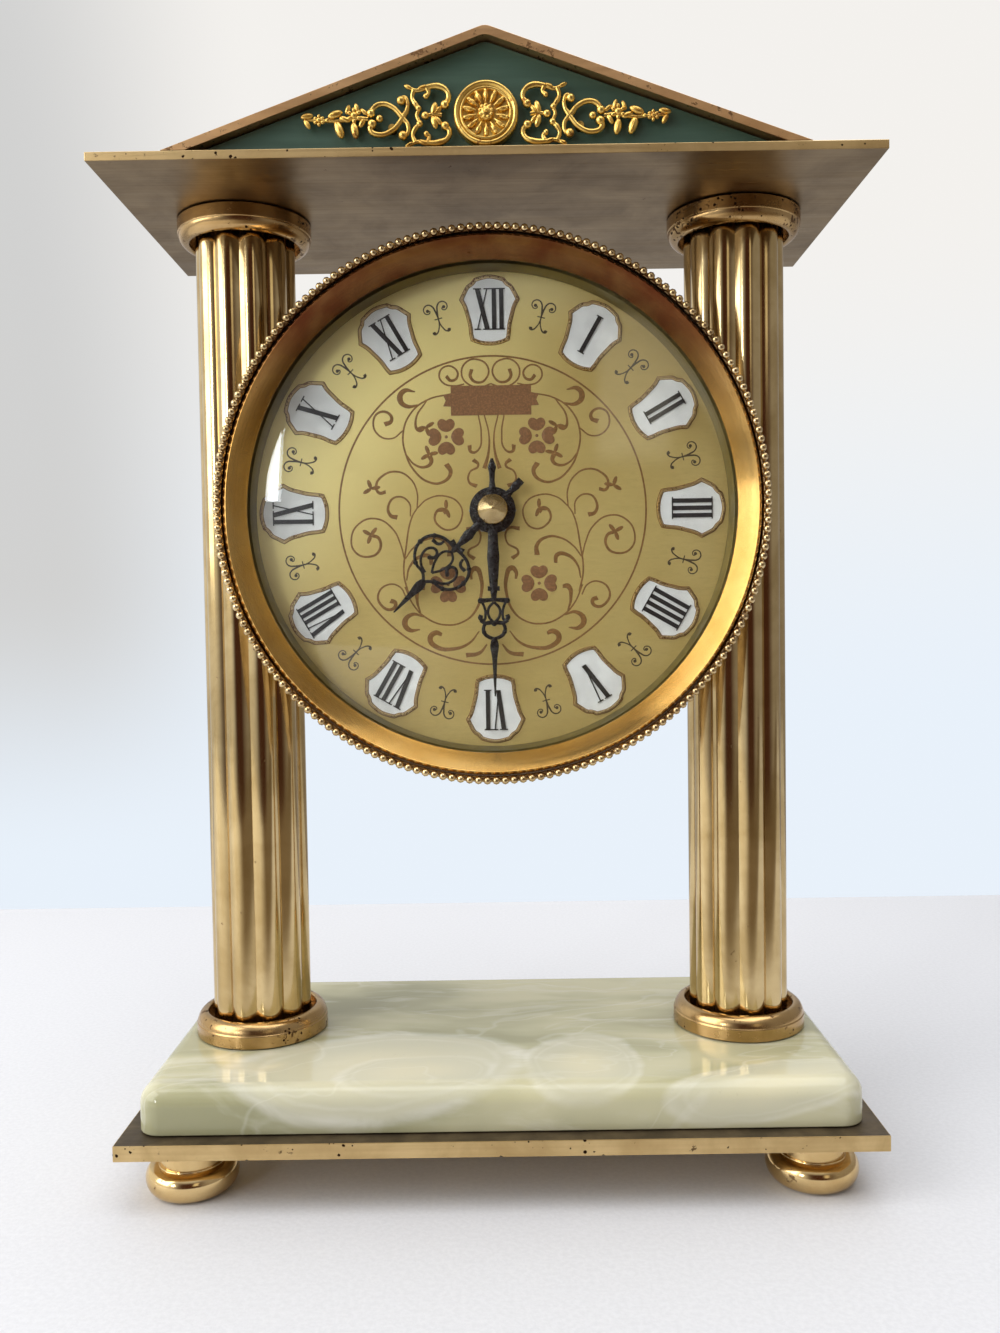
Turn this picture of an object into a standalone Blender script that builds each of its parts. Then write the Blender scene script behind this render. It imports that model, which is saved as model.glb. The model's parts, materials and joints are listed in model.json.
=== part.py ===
"""Portico mantel clock: brass plates, onyx slab, ribbed columns, round dial head and battery movement.

Sizes are in millimetres and are scaled to metres where each shape is made. +Z is up and the dial
faces -Y. The origin is the middle of the footprint, on the surface that the feet stand on.
"""
import math

import bmesh
import bpy

MM = 0.001
GAP = 0.3                                  # clearance between pieces that rest on each other
WELD = 0.00001                             # metres
FACING_FRONT = (math.pi / 2, 0.0, 0.0)     # local +Z points to the front and local +Y points up
FACING_BACK = (-math.pi / 2, 0.0, 0.0)
UPSIDE_DOWN = (math.pi, 0.0, 0.0)
ALONG_X = (0.0, math.pi / 2, 0.0)          # local +Z points to +X
ALONG_MINUS_X = (0.0, -math.pi / 2, 0.0)
SIDES = {"left": -1, "right": 1}

# Foot, base plate, onyx slab
FOOT_HEIGHT = 12.0
FOOT_RADIUS = 10.4
NECK_RADIUS = 7.3
BUN_MIDDLE, BUN_RISE, BUN_DROP = 3.7, 3.2, 3.7
FOOT_X = 70.6
FOOT_Y = 27.8
STUD_RADIUS = 2.5
STUD_LENGTH = 8.2
BASE_WIDTH, BASE_DEPTH, BASE_THICKNESS = 168.0, 83.0, 3.5
ONYX_WIDTH, ONYX_DEPTH, ONYX_HEIGHT = 161.0, 75.5, 10.3
ONYX_CORNER_RADIUS, ONYX_EDGE_RADIUS = 2.2, 2.8
BASE_BOTTOM = FOOT_HEIGHT + GAP
BASE_TOP = BASE_BOTTOM + BASE_THICKNESS
ONYX_BOTTOM = BASE_TOP + GAP
ONYX_TOP = ONYX_BOTTOM + ONYX_HEIGHT

# Columns and the rings at their ends
COLUMN_X = 60.0
COLUMN_RADIUS = 12.0
COLUMN_BORE = 9.3
RIB_COUNT = 10
RIB_DEPTH = 1.3
RIB_TURN = {"left": -13.5, "right": 8.5}    # degrees from straight ahead to the nearest crest
RING_RADIUS = 16.1
RING_HEIGHT = 5.6
RING_FLOOR = 2.0
RING_BORE = COLUMN_RADIUS + 1.2
ROD_RADIUS = 2.4
ROD_HOLE = 2.8
ROD_END = 6.6                              # how far the tie rods stand out below the base plate
WASHER_RADIUS, WASHER_THICKNESS = 6.0, 1.0
ROD_NUT_RADIUS, ROD_NUT_HEIGHT = 4.6, 3.6
CORNICE_WIDTH, CORNICE_DEPTH, CORNICE_THICKNESS = 170.0, 77.0, 1.9
CORNICE_BOTTOM = 226.2
CORNICE_TOP = CORNICE_BOTTOM + CORNICE_THICKNESS
RING_BOTTOM = ONYX_TOP + GAP
CAPITAL_TOP = CORNICE_BOTTOM - GAP
COLUMN_BOTTOM = RING_BOTTOM + RING_FLOOR + GAP
COLUMN_TOP = CAPITAL_TOP - RING_FLOOR - GAP

# Pediment
ROOF_BOTTOM = CORNICE_TOP + GAP
ROOF_HALF_WIDTH = 69.1
ROOF_TOP = 253.5
ROOF_THICKNESS = 1.8
ROOF_DEPTH = 76.0
APEX_RADIUS = 3.2
PANEL_THICKNESS = 1.0
PANEL_SETBACK = 2.5
ROOF_FOOT, ROOF_FOOT_X = (14.0, 24.0, 1.2), 56.5
ORNAMENT_Z = 235.3
ORNAMENT_HALF_WIDTH = 39.5
MEDALLION_RADIUS, MEDALLION_THICKNESS = 6.9, 3.2
WING_THICKNESS = 1.6
PIN_X, PIN_DROP, PIN_SHANK, PIN_LENGTH = 20.0, 2.4, 0.8, 5.0
PIN_NUT_RADIUS, PIN_NUT_THICKNESS = 2.2, 1.6

# Clock head: F values are distances in front of the column axes
HEAD_Z = 153.8
CASE_RADIUS = 46.5
CASE_WALL = 1.0
CASE_BACK_F = -19.0
CASE_SCREW_HOLE, CASE_SCREW_RADIUS, CASE_SCREW_HEAD_RADIUS = 1.8, 1.5, 3.0
CASE_SCREW_TIP_X = 51.5
SPACER_RADIUS, SPACER_THICKNESS = 2.6, 1.0
FLANGE_RADIUS = 59.4
FLANGE_F = COLUMN_RADIUS + GAP
FLANGE_FRONT_F = FLANGE_F + CASE_WALL
DIAL_RADIUS = 58.6
DIAL_THICKNESS = 0.8
DIAL_BACK_F = FLANGE_FRONT_F + GAP
DIAL_FRONT_F = DIAL_BACK_F + DIAL_THICKNESS
DIAL_HOLE = 4.5
HOUR_PAD_RADIUS = 46.3
HOUR_PAD_HALF_WIDTH, HOUR_PAD_HALF_HEIGHT = 7.2, 8.1
HOUR_PAD_HEIGHT = 0.5
BEZEL_RADIUS = 60.9
BEZEL_BACK_F = 12.6
BEZEL_FRONT_F = 26.3
LIP_RADIUS = 56.3
LIP_F = 20.4
RIM_INNER_RADIUS = 61.25
RIM_RADIUS = 62.7
BEAD_RADIUS = 0.95
BEAD_CENTRE = (62.15, 25.7)
GLASS_RADIUS = 59.3
GLASS_THICKNESS = 1.2
DOME_RADIUS = 56.0
DOME_RISE = 5.9
GLASS_FRONT_F = LIP_F - GAP
SURROUND_FRONT_F = GLASS_FRONT_F - GLASS_THICKNESS - GAP
SURROUND_BACK_F = DIAL_FRONT_F + GAP

# Hands and their stack
BUSH_RADIUS, BUSH_BORE, BUSH_FRONT_F = 4.0, 2.6, 15.9
PIPE_RADIUS, PIPE_BORE, PIPE_FRONT_F = 2.3, 1.5, 17.2
ARBOR_RADIUS, ARBOR_FRONT_F = 1.2, 20.3
HOUR_HAND_F = 16.4
MINUTE_HAND_F = 17.6
HAND_THICKNESS = 0.4
HOUR_LENGTH, HOUR_TAIL = 33.2, 9.8
MINUTE_LENGTH, MINUTE_TAIL = 43.4, 12.1
HOUR_CLOCK_ANGLE = 225.0                   # degrees clockwise from twelve: half past seven
MINUTE_CLOCK_ANGLE = 180.0
HAND_NUT_F, HAND_NUT_RADIUS, HAND_NUT_HEIGHT = 18.3, 3.45, 3.2
DIAL_NUT_RADIUS, DIAL_NUT_THICKNESS = 5.6, 1.0

# Movement
SHELL_HALF_WIDTH, SHELL_BOTTOM, SHELL_TOP = 28.0, -34.0, 22.0
SHELL_FRONT_F, SHELL_BACK_F = 13.3, -2.7
SHELL_WALL = 1.5
BATTERY_WALL_Z = -17.1
BATTERY_Z, BATTERY_F, BATTERY_RADIUS = -25.5, 4.6, 6.9
REAR_SHELL_F, REAR_SHELL_THICKNESS = -3.6, 1.2
WHEEL_THICKNESS = 1.0
LAYER_HOUR, LAYER_MOTION, LAYER_CENTRE, LAYER_THIRD, LAYER_STEP = 10.9, 9.4, 7.9, 6.1, 4.3
BEARING_FRONT_F, BEARING_BACK_F = 12.3, -4.0
PIVOT_CLEARANCE = 0.1
POST_RADIUS, KNOB_ARBOR, TRAIN_ARBOR, ROTOR_ARBOR = 0.8, 1.2, 0.6, 0.5
KNOB_BACK_F, KNOB_GRIP_F, KNOB_GRIP_LENGTH = -6.0, -7.5, 5.0
KNOB_GRIP_RIBS, KNOB_GRIP_MODULE = 10, 0.88
ROTOR_RADIUS, ROTOR_LENGTH = 2.5, 3.2
STATOR_F = 1.5
COIL_RADIUS, COIL_BORE, COIL_LENGTH, COIL_X = 4.2, 1.9, 18.0, -12.5
STATOR_LEFT, STATOR_BAR_HALF, STATOR_ARCH_HALF, STATOR_BORE = -24.5, 1.2, 4.6, 3.1
BOARD_SIZE, BOARD_AT = (20.0, 1.0, 9.5), (14.5, -0.5, -11.5)
CRYSTAL_RADIUS, CRYSTAL_LENGTH, CRYSTAL_AT = 1.0, 6.0, (11.0, 1.3, -12.0)
BATTERY_HALF_LENGTH, BATTERY_NUB_RADIUS, BATTERY_NUB_LENGTH, BATTERY_X = 24.4, 2.7, 1.2, -0.5
BATTERY_BAY_HALF_HEIGHT = 7.2
CONTACT_SIZE, CONTACT_X = (0.6, 9.0, 10.0), {"positive": 25.8, "negative": -25.7}

# Rear door
DOOR_RADIUS = 46.3
DOOR_F = -20.0
DOOR_THICKNESS = 1.4
HINGE_X = -48.4
KNUCKLE_RADIUS, KNUCKLE_BORE, PIN_RADIUS = 1.7, 1.0, 0.8
KNUCKLE_HALF_LENGTH, HINGE_HALF_LENGTH = 3.0, 7.0
DOOR_KNOB_X, DOOR_KNOB_HOLE = DOOR_RADIUS - 9.0, 1.6
HINGE_WEB = (3.4, 2.6)                     # along x and y

FINISHES = {
    "polished_brass": ((0.80, 0.60, 0.28), 0.18, 1.0),
    "brushed_brass": ((0.72, 0.52, 0.24), 0.38, 1.0),
    "cast_gilt": ((0.74, 0.56, 0.26), 0.34, 1.0),
    "steel": ((0.56, 0.55, 0.53), 0.35, 1.0),
    "onyx": ((0.66, 0.68, 0.52), 0.22, 0.0),
    "green_paint": ((0.10, 0.20, 0.13), 0.40, 0.0),
    "dark_lip": ((0.16, 0.14, 0.07), 0.35, 0.6),
    "dial_gold": ((0.80, 0.70, 0.50), 0.40, 0.8),
    "black_paint": ((0.02, 0.02, 0.02), 0.35, 0.0),
    "glass": ((0.95, 0.97, 0.96), 0.03, 0.0),
    "black_plastic": ((0.04, 0.04, 0.045), 0.50, 0.0),
    "white_plastic": ((0.82, 0.81, 0.76), 0.45, 0.0),
    "copper": ((0.60, 0.27, 0.12), 0.40, 0.8),
    "board_green": ((0.05, 0.22, 0.10), 0.50, 0.0),
    "battery_wrap": ((0.10, 0.12, 0.16), 0.40, 0.2),
}


# ---------------------------------------------------------------- scene and materials

def clear_scene():
    for item in list(bpy.data.objects):
        bpy.data.objects.remove(item, do_unlink=True)


def new_collection(name):
    group = bpy.data.collections.new(name)
    bpy.context.scene.collection.children.link(group)
    return group


def finish_material(name, finish):
    colour, roughness, metallic = FINISHES[finish]
    material = bpy.data.materials.new(name)
    material.use_nodes = True
    shader = material.node_tree.nodes["Principled BSDF"]
    shader.inputs["Base Color"].default_value = (*colour, 1.0)
    shader.inputs["Roughness"].default_value = roughness
    shader.inputs["Metallic"].default_value = metallic
    return material


def place(name, mesh, finish, at, turn):
    """Put a mesh in the scene as a named part, with at in millimetres."""
    piece = bpy.data.objects.new(name, mesh)
    piece.location = [value * MM for value in at]
    piece.rotation_euler = turn
    mesh.materials.clear()
    mesh.materials.append(finish_material(name, finish))
    PARTS.objects.link(piece)
    return piece


def as_tool(piece):
    """Make a part a helper shape that only shapes others."""
    PARTS.objects.unlink(piece)
    TOOLS.objects.link(piece)
    piece.hide_render = True
    piece.display_type = "WIRE"
    return piece


def combine(piece, tool, operation):
    step = piece.modifiers.new(operation.lower(), "BOOLEAN")
    step.operation = operation
    step.solver = "EXACT"
    step.object = as_tool(tool)
    return piece


def cut(piece, tool):
    return combine(piece, tool, "DIFFERENCE")


def join(piece, tool):
    return combine(piece, tool, "UNION")


# ---------------------------------------------------------------- shape makers

def head(x, f, z=0.0):
    """A point of the clock head: right of its axis, in front of the columns, above its axis."""
    return (x, -f, HEAD_Z + z)


def turned(name, profile, finish, at=(0, 0, 0), turn=(0, 0, 0), steps=32, ring=False):
    """Turn a profile of (radius, height) points, whose outer side runs from top to bottom."""
    mesh = bpy.data.meshes.new(name)
    points = [(radius * MM, 0.0, height * MM) for radius, height in profile]
    edges = [(i, i + 1) for i in range(len(points) - 1)]
    if ring:
        edges.append((len(points) - 1, 0))
    mesh.from_pydata(points, edges, [])
    piece = place(name, mesh, finish, at, turn)
    screw = piece.modifiers.new("turning", "SCREW")
    screw.axis = "Z"
    screw.angle = 2 * math.pi
    screw.steps = steps
    screw.render_steps = steps
    screw.use_merge_vertices = True
    screw.merge_threshold = WELD
    return piece


def rod(name, radius, length, finish, at, turn=(0, 0, 0), sides=16):
    """A plain round bar centred on its place."""
    shape = bmesh.new()
    bmesh.ops.create_cone(shape, cap_ends=True, segments=sides, radius1=radius * MM,
                          radius2=radius * MM, depth=length * MM)
    mesh = bpy.data.meshes.new(name)
    shape.to_mesh(mesh)
    shape.free()
    return place(name, mesh, finish, at, turn)


def box(name, size, finish, at, turn=(0, 0, 0)):
    shape = bmesh.new()
    bmesh.ops.create_cube(shape, size=1.0)
    bmesh.ops.scale(shape, vec=[value * MM for value in size], verts=shape.verts)
    mesh = bpy.data.meshes.new(name)
    shape.to_mesh(mesh)
    shape.free()
    return place(name, mesh, finish, at, turn)


def flat(name, loops, thickness, finish, at, turn=(0, 0, 0)):
    """A plate with the first loop as its outline and any others as holes or islands."""
    curve = bpy.data.curves.new(name, "CURVE")
    curve.dimensions = "2D"
    curve.fill_mode = "BOTH"
    curve.extrude = thickness * MM / 2
    for loop in loops:
        spline = curve.splines.new("POLY")
        spline.points.add(len(loop) - 1)
        for point, (x, y) in zip(spline.points, loop):
            point.co = (x * MM, y * MM, 0.0, 1.0)
        spline.use_cyclic_u = True
    source = bpy.data.objects.new(name + "_outline", curve)
    TOOLS.objects.link(source)
    graph = bpy.context.evaluated_depsgraph_get()
    mesh = bpy.data.meshes.new_from_object(source.evaluated_get(graph))
    bpy.data.objects.remove(source)
    shape = bmesh.new()
    shape.from_mesh(mesh)
    bmesh.ops.remove_doubles(shape, verts=shape.verts, dist=WELD)
    bmesh.ops.recalc_face_normals(shape, faces=shape.faces)
    shape.to_mesh(mesh)
    shape.free()
    return place(name, mesh, finish, at, turn)


def circle(radius, count=24, x=0.0, y=0.0, start=0.0):
    step = 2 * math.pi / count
    return [(x + radius * math.cos(start + i * step), y + radius * math.sin(start + i * step))
            for i in range(count)]


def rectangle(half_x, half_y):
    return [(half_x, half_y), (-half_x, half_y), (-half_x, -half_y), (half_x, -half_y)]


def rotated(points, degrees):
    angle = math.radians(degrees)
    return [(x * math.cos(angle) - y * math.sin(angle), x * math.sin(angle) + y * math.cos(angle))
            for x, y in points]


def mirrored(half):
    """Close a left-right symmetric outline from its right half, listed from bottom to top."""
    return half + [(-x, y) for x, y in reversed(half) if x > 0]


# ---------------------------------------------------------------- base and columns

def make_foot(side, end):
    """A flattened bun on a straight neck, with the stud that screws up into the onyx."""
    bun = []
    for degrees in (50, 25, 0, -25, -50, -72):
        angle = math.radians(degrees)
        bun.append((NECK_RADIUS + (FOOT_RADIUS - NECK_RADIUS) * math.cos(angle),
                    BUN_MIDDLE + (BUN_RISE if degrees > 0 else BUN_DROP) * math.sin(angle)))
    top = FOOT_HEIGHT + STUD_LENGTH
    profile = [(0, top), (STUD_RADIUS, top), (STUD_RADIUS, FOOT_HEIGHT), (NECK_RADIUS, FOOT_HEIGHT),
               (NECK_RADIUS, BUN_MIDDLE + 2.7)] + bun + [(NECK_RADIUS - 0.5, 0), (0, 0)]
    name = "foot_%s_%s" % (end, side)
    end_sign = -1 if end == "front" else 1
    return turned(name, profile, "polished_brass", (SIDES[side] * FOOT_X, end_sign * FOOT_Y, 0), steps=18)


def foot_places():
    return [(sx * FOOT_X, sy * FOOT_Y) for sx in (-1, 1) for sy in (-1, 1)]


def make_base_plate():
    holes = [circle(STUD_RADIUS + GAP, 12, x, y) for x, y in foot_places()]
    holes += [circle(ROD_HOLE, 12, sx * COLUMN_X, 0) for sx in (-1, 1)]
    outline = rectangle(BASE_WIDTH / 2, BASE_DEPTH / 2)
    middle = BASE_BOTTOM + BASE_THICKNESS / 2
    return flat("base_plate", [outline] + holes, BASE_THICKNESS, "brushed_brass", (0, 0, middle))


def make_onyx_base():
    """A slab with rounded top and corner edges, drilled for the tie rods and the feet studs."""
    shape = bmesh.new()
    bmesh.ops.create_cube(shape, size=1.0)
    bmesh.ops.scale(shape, vec=(ONYX_WIDTH * MM, ONYX_DEPTH * MM, ONYX_HEIGHT * MM), verts=shape.verts)
    upright = [e for e in shape.edges if abs(e.verts[0].co.z - e.verts[1].co.z) > WELD]
    bmesh.ops.bevel(shape, geom=upright, offset=ONYX_CORNER_RADIUS * MM, segments=3, profile=0.5,
                    affect="EDGES", material=-1)
    top = [e for e in shape.edges if min(v.co.z for v in e.verts) > 0]
    bmesh.ops.bevel(shape, geom=top, offset=ONYX_EDGE_RADIUS * MM, segments=3, profile=0.5,
                    affect="EDGES", material=-1)
    mesh = bpy.data.meshes.new("onyx_base")
    shape.to_mesh(mesh)
    shape.free()
    slab = place("onyx_base", mesh, "onyx", (0, 0, ONYX_BOTTOM + ONYX_HEIGHT / 2), (0, 0, 0))
    for sx in (-1, 1):
        cut(slab, rod("onyx_rod_hole", ROD_HOLE, 2 * ONYX_HEIGHT, "steel",
                      (sx * COLUMN_X, 0, ONYX_BOTTOM + ONYX_HEIGHT / 2), sides=12))
    hole_depth = FOOT_HEIGHT + STUD_LENGTH + GAP - ONYX_BOTTOM
    for x, y in foot_places():
        cut(slab, rod("onyx_stud_hole", STUD_RADIUS + GAP, 2 * hole_depth, "steel", (x, y, ONYX_BOTTOM),
                      sides=12))
    return slab


def ring_profile():
    """A turned collar: straight band, domed shoulder, narrow rim and a counterbore for the column."""
    return [(14.1, RING_HEIGHT), (15.1, 5.0), (15.8, 4.1), (RING_RADIUS, 3.0), (RING_RADIUS, 0),
            (ROD_HOLE, 0), (ROD_HOLE, RING_FLOOR), (RING_BORE, RING_FLOOR), (RING_BORE, 5.1),
            (RING_BORE + 0.4, RING_HEIGHT)]


def make_column(side):
    """A tube whose wall is rolled into round ribs that meet in narrow valleys."""
    count = RIB_COUNT * 6
    outline = []
    for i in range(count):
        angle = 2 * math.pi * i / count
        radius = COLUMN_RADIUS - RIB_DEPTH * (1 - abs(math.cos(RIB_COUNT * angle / 2)))
        outline.append((radius * math.cos(angle), radius * math.sin(angle)))
    outline = rotated(outline, RIB_TURN[side] - 90)
    at = (SIDES[side] * COLUMN_X, 0, (COLUMN_TOP + COLUMN_BOTTOM) / 2)
    loops = [outline, circle(COLUMN_BORE)]
    column = flat("column_" + side, loops, COLUMN_TOP - COLUMN_BOTTOM, "polished_brass", at)
    hole_x = SIDES[side] * (COLUMN_X - COLUMN_RADIUS)
    return cut(column, rod("column_hole_" + side, CASE_SCREW_HOLE, 8, "steel", head(hole_x, 0), ALONG_X, 12))


def make_column_set(side):
    x = SIDES[side] * COLUMN_X
    turned("base_ring_" + side, ring_profile(), "brushed_brass", (x, 0, RING_BOTTOM), steps=24, ring=True)
    turned("capital_ring_" + side, ring_profile(), "brushed_brass", (x, 0, CAPITAL_TOP), UPSIDE_DOWN,
           steps=24, ring=True)
    make_column(side)
    bottom = BASE_BOTTOM - ROD_END
    rod("tie_rod_" + side, ROD_RADIUS, CORNICE_TOP - bottom, "steel",
        (x, 0, (CORNICE_TOP + bottom) / 2), sides=12)
    washer_bottom = BASE_BOTTOM - GAP - WASHER_THICKNESS
    flat("tie_rod_washer_" + side, [circle(WASHER_RADIUS, 20), circle(ROD_HOLE, 12)], WASHER_THICKNESS,
         "steel", (x, 0, washer_bottom + WASHER_THICKNESS / 2))
    flat("tie_rod_nut_" + side, [circle(ROD_NUT_RADIUS, 6), circle(ROD_HOLE - 0.1, 12)], ROD_NUT_HEIGHT,
         "brushed_brass", (x, 0, washer_bottom - GAP - ROD_NUT_HEIGHT / 2))


# ---------------------------------------------------------------- cornice and pediment

def make_cornice_plate():
    holes = [circle(ROD_HOLE, 12, sx * COLUMN_X, 0) for sx in (-1, 1)]
    outline = rectangle(CORNICE_WIDTH / 2, CORNICE_DEPTH / 2)
    at = (0, 0, CORNICE_BOTTOM + CORNICE_THICKNESS / 2)
    return flat("cornice_plate", [outline] + holes, CORNICE_THICKNESS, "brushed_brass", at)


def roof_slope():
    return (ROOF_TOP - ROOF_BOTTOM) / ROOF_HALF_WIDTH


def gable(inset, foot):
    """The gable line lowered by inset, from its right foot over a rounded ridge to its left foot."""
    slope = roof_slope()
    top = ROOF_TOP - inset
    lean = math.atan(slope)
    ridge = []
    for i in range(5):
        angle = lean * (1 - i / 2)
        ridge.append((APEX_RADIUS * math.sin(angle),
                      top - APEX_RADIUS * (1 / math.cos(lean) - math.cos(angle))))
    reach = (top - foot) / slope
    return [(reach, foot)] + ridge + [(-reach, foot)]


def make_pediment_roof():
    """One strip bent over the ridge, with two feet that are soldered to the cornice."""
    drop = ROOF_THICKNESS / math.cos(math.atan(roof_slope()))
    outline = gable(0, ROOF_BOTTOM) + gable(drop, ROOF_BOTTOM)[::-1]
    roof = flat("pediment_roof", [outline], ROOF_DEPTH, "polished_brass", (0, 0, 0), FACING_FRONT)
    for sx in (-1, 1):
        join(roof, box("roof_foot", ROOF_FOOT, "steel",
                       (sx * ROOF_FOOT_X, 0, ROOF_BOTTOM + ROOF_FOOT[2] / 2)))
    return roof


def make_pediment_panels():
    """The painted gable panel and the plain one behind, both let in from the roof's edges."""
    drop = ROOF_THICKNESS / math.cos(math.atan(roof_slope())) + GAP + 0.05
    outline = gable(drop, ROOF_BOTTOM)
    depth = ROOF_DEPTH / 2 - PANEL_SETBACK - PANEL_THICKNESS / 2
    pins = [circle(PIN_SHANK + GAP, 10, sx * PIN_X, ORNAMENT_Z - PIN_DROP) for sx in (-1, 1)]
    flat("tympanum_panel", [outline] + pins, PANEL_THICKNESS, "green_paint", (0, -depth, 0), FACING_FRONT)
    flat("pediment_back_panel", [outline], PANEL_THICKNESS, "brushed_brass", (0, depth, 0), FACING_FRONT)


def make_ornament():
    """A cast mount: a round medallion between two tapering scrolled wings, held by pins and nuts."""
    back = ROOF_DEPTH / 2 - PANEL_SETBACK + GAP
    wing = [(8, -6.4), (24, -6.4), (36, -6.5), (ORNAMENT_HALF_WIDTH, -4.9), (37, -3.4), (30, -2.2),
            (25, 0.4), (17, 2.6), (11, 2.0), (6, 3.6)]
    outline = mirrored(wing)
    ornament = flat("ornament", [outline], WING_THICKNESS, "cast_gilt",
                    (0, -back - WING_THICKNESS / 2, ORNAMENT_Z), FACING_FRONT)
    join(ornament, rod("medallion", MEDALLION_RADIUS, MEDALLION_THICKNESS, "steel",
                       (0, -back - MEDALLION_THICKNESS / 2, ORNAMENT_Z), FACING_FRONT, 28))
    pin_z = ORNAMENT_Z - PIN_DROP
    pin_f = back + WING_THICKNESS / 2 - PIN_LENGTH / 2
    nut_f = back - PANEL_THICKNESS - 2 * GAP - PIN_NUT_THICKNESS / 2
    for side, sx in SIDES.items():
        join(ornament, rod("ornament_pin", PIN_SHANK, PIN_LENGTH, "steel", (sx * PIN_X, -pin_f, pin_z),
                           FACING_FRONT, 10))
        flat("ornament_nut_" + side, [circle(PIN_NUT_RADIUS, 6), circle(PIN_SHANK + GAP, 10)],
             PIN_NUT_THICKNESS, "brushed_brass", (sx * PIN_X, -nut_f, pin_z), FACING_FRONT)


# ---------------------------------------------------------------- clock head

def make_head_case():
    """The drum between the columns, its front flange and the two outer hinge knuckles."""
    inner = CASE_RADIUS - CASE_WALL
    profile = [(FLANGE_RADIUS, FLANGE_FRONT_F), (FLANGE_RADIUS, FLANGE_F), (CASE_RADIUS, FLANGE_F),
               (CASE_RADIUS, CASE_BACK_F), (inner, CASE_BACK_F), (inner, FLANGE_FRONT_F)]
    case = turned("head_case", profile, "brushed_brass", head(0, 0), FACING_FRONT, 40, True)
    for sx in (-1, 1):
        cut(case, rod("case_screw_hole", CASE_SCREW_HOLE, 6, "steel", head(sx * CASE_RADIUS, 0), ALONG_X, 12))
    knuckle_length = HINGE_HALF_LENGTH - KNUCKLE_HALF_LENGTH - GAP
    middle = (HINGE_HALF_LENGTH + KNUCKLE_HALF_LENGTH + GAP) / 2
    for sz in (-1, 1):
        web_f = (CASE_BACK_F + 2.6 + DOOR_F + 1.2) / 2
        join(case, box("case_hinge_web", (*HINGE_WEB, knuckle_length), "steel",
                       head(HINGE_X + 1.5, web_f, sz * middle)))
        join(case, rod("case_knuckle", KNUCKLE_RADIUS, knuckle_length, "steel",
                       head(HINGE_X, DOOR_F, sz * middle), sides=16))
    return cut(case, rod("case_pin_hole", KNUCKLE_BORE, 20, "steel", head(HINGE_X, DOOR_F), sides=12))


def make_case_fixings(side):
    """A screw from inside the drum into the column, with a spacer between the two."""
    sx = SIDES[side]
    under_head = CASE_RADIUS - CASE_WALL - GAP - CASE_SCREW_TIP_X
    profile = [(0, 0), (CASE_SCREW_RADIUS, 0), (CASE_SCREW_RADIUS, under_head),
               (CASE_SCREW_HEAD_RADIUS, under_head), (CASE_SCREW_HEAD_RADIUS, under_head - 1.0),
               (2.0, under_head - 2.2), (0, under_head - 2.2)]
    turned("case_screw_" + side, profile, "steel", head(sx * CASE_SCREW_TIP_X, 0),
           ALONG_X if sx > 0 else ALONG_MINUS_X, 16)
    flat("case_spacer_" + side, [circle(SPACER_RADIUS, 16), circle(CASE_SCREW_HOLE, 12)], SPACER_THICKNESS,
         "steel", head(sx * (CASE_RADIUS + GAP + SPACER_THICKNESS / 2), 0), ALONG_X)


def make_bezel():
    """A dished ring that holds the glass, and the beaded rim pressed around it."""
    wall = BEZEL_RADIUS - 1.15
    profile = [(60.0, BEZEL_FRONT_F), (60.5, 25.9), (BEZEL_RADIUS, 25.2), (BEZEL_RADIUS, BEZEL_BACK_F),
               (wall, BEZEL_BACK_F), (wall, 24.3), (LIP_RADIUS + 1.0, 20.9), (LIP_RADIUS + 0.7, LIP_F),
               (LIP_RADIUS, LIP_F), (LIP_RADIUS, LIP_F + 0.8)]
    turned("bezel", profile, "brushed_brass", head(0, 0), FACING_FRONT, 48, True)
    bead = []
    for degrees in (90, 45, 0, -45):
        angle = math.radians(degrees)
        bead.append((BEAD_CENTRE[0] + BEAD_RADIUS * math.cos(angle),
                     BEAD_CENTRE[1] + BEAD_RADIUS * math.sin(angle)))
    rim = bead + [(RIM_RADIUS, 24.7), (RIM_RADIUS, BEZEL_BACK_F), (RIM_INNER_RADIUS, BEZEL_BACK_F),
                  (RIM_INNER_RADIUS, 25.6), (61.5, 26.3)]
    turned("beaded_rim", rim, "polished_brass", head(0, 0), FACING_FRONT, 48, True)


def dome(drop, reach):
    """Points on a shallow dome, from its middle out to a radius of reach."""
    sphere = (DOME_RADIUS ** 2 + DOME_RISE ** 2) / (2 * DOME_RISE)
    crown = GLASS_FRONT_F + DOME_RISE - drop
    return [(radius, crown - sphere + math.sqrt(sphere ** 2 - radius ** 2))
            for radius in (reach * part for part in (0, 0.4, 0.75, 1.0))]


def make_dome_glass():
    outer = dome(0, DOME_RADIUS)
    inner = dome(GLASS_THICKNESS, DOME_RADIUS - 0.4)
    back = GLASS_FRONT_F - GLASS_THICKNESS
    profile = outer + [(GLASS_RADIUS, GLASS_FRONT_F), (GLASS_RADIUS, back)] + inner[::-1]
    turned("dome_glass", profile, "glass", head(0, 0), FACING_FRONT, 36)


def make_dial_surround():
    profile = [(GLASS_RADIUS, SURROUND_FRONT_F), (GLASS_RADIUS, SURROUND_BACK_F), (55.3, SURROUND_BACK_F),
               (56.0, SURROUND_FRONT_F)]
    turned("dial_surround", profile, "dark_lip", head(0, 0), FACING_FRONT, 40, True)


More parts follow.
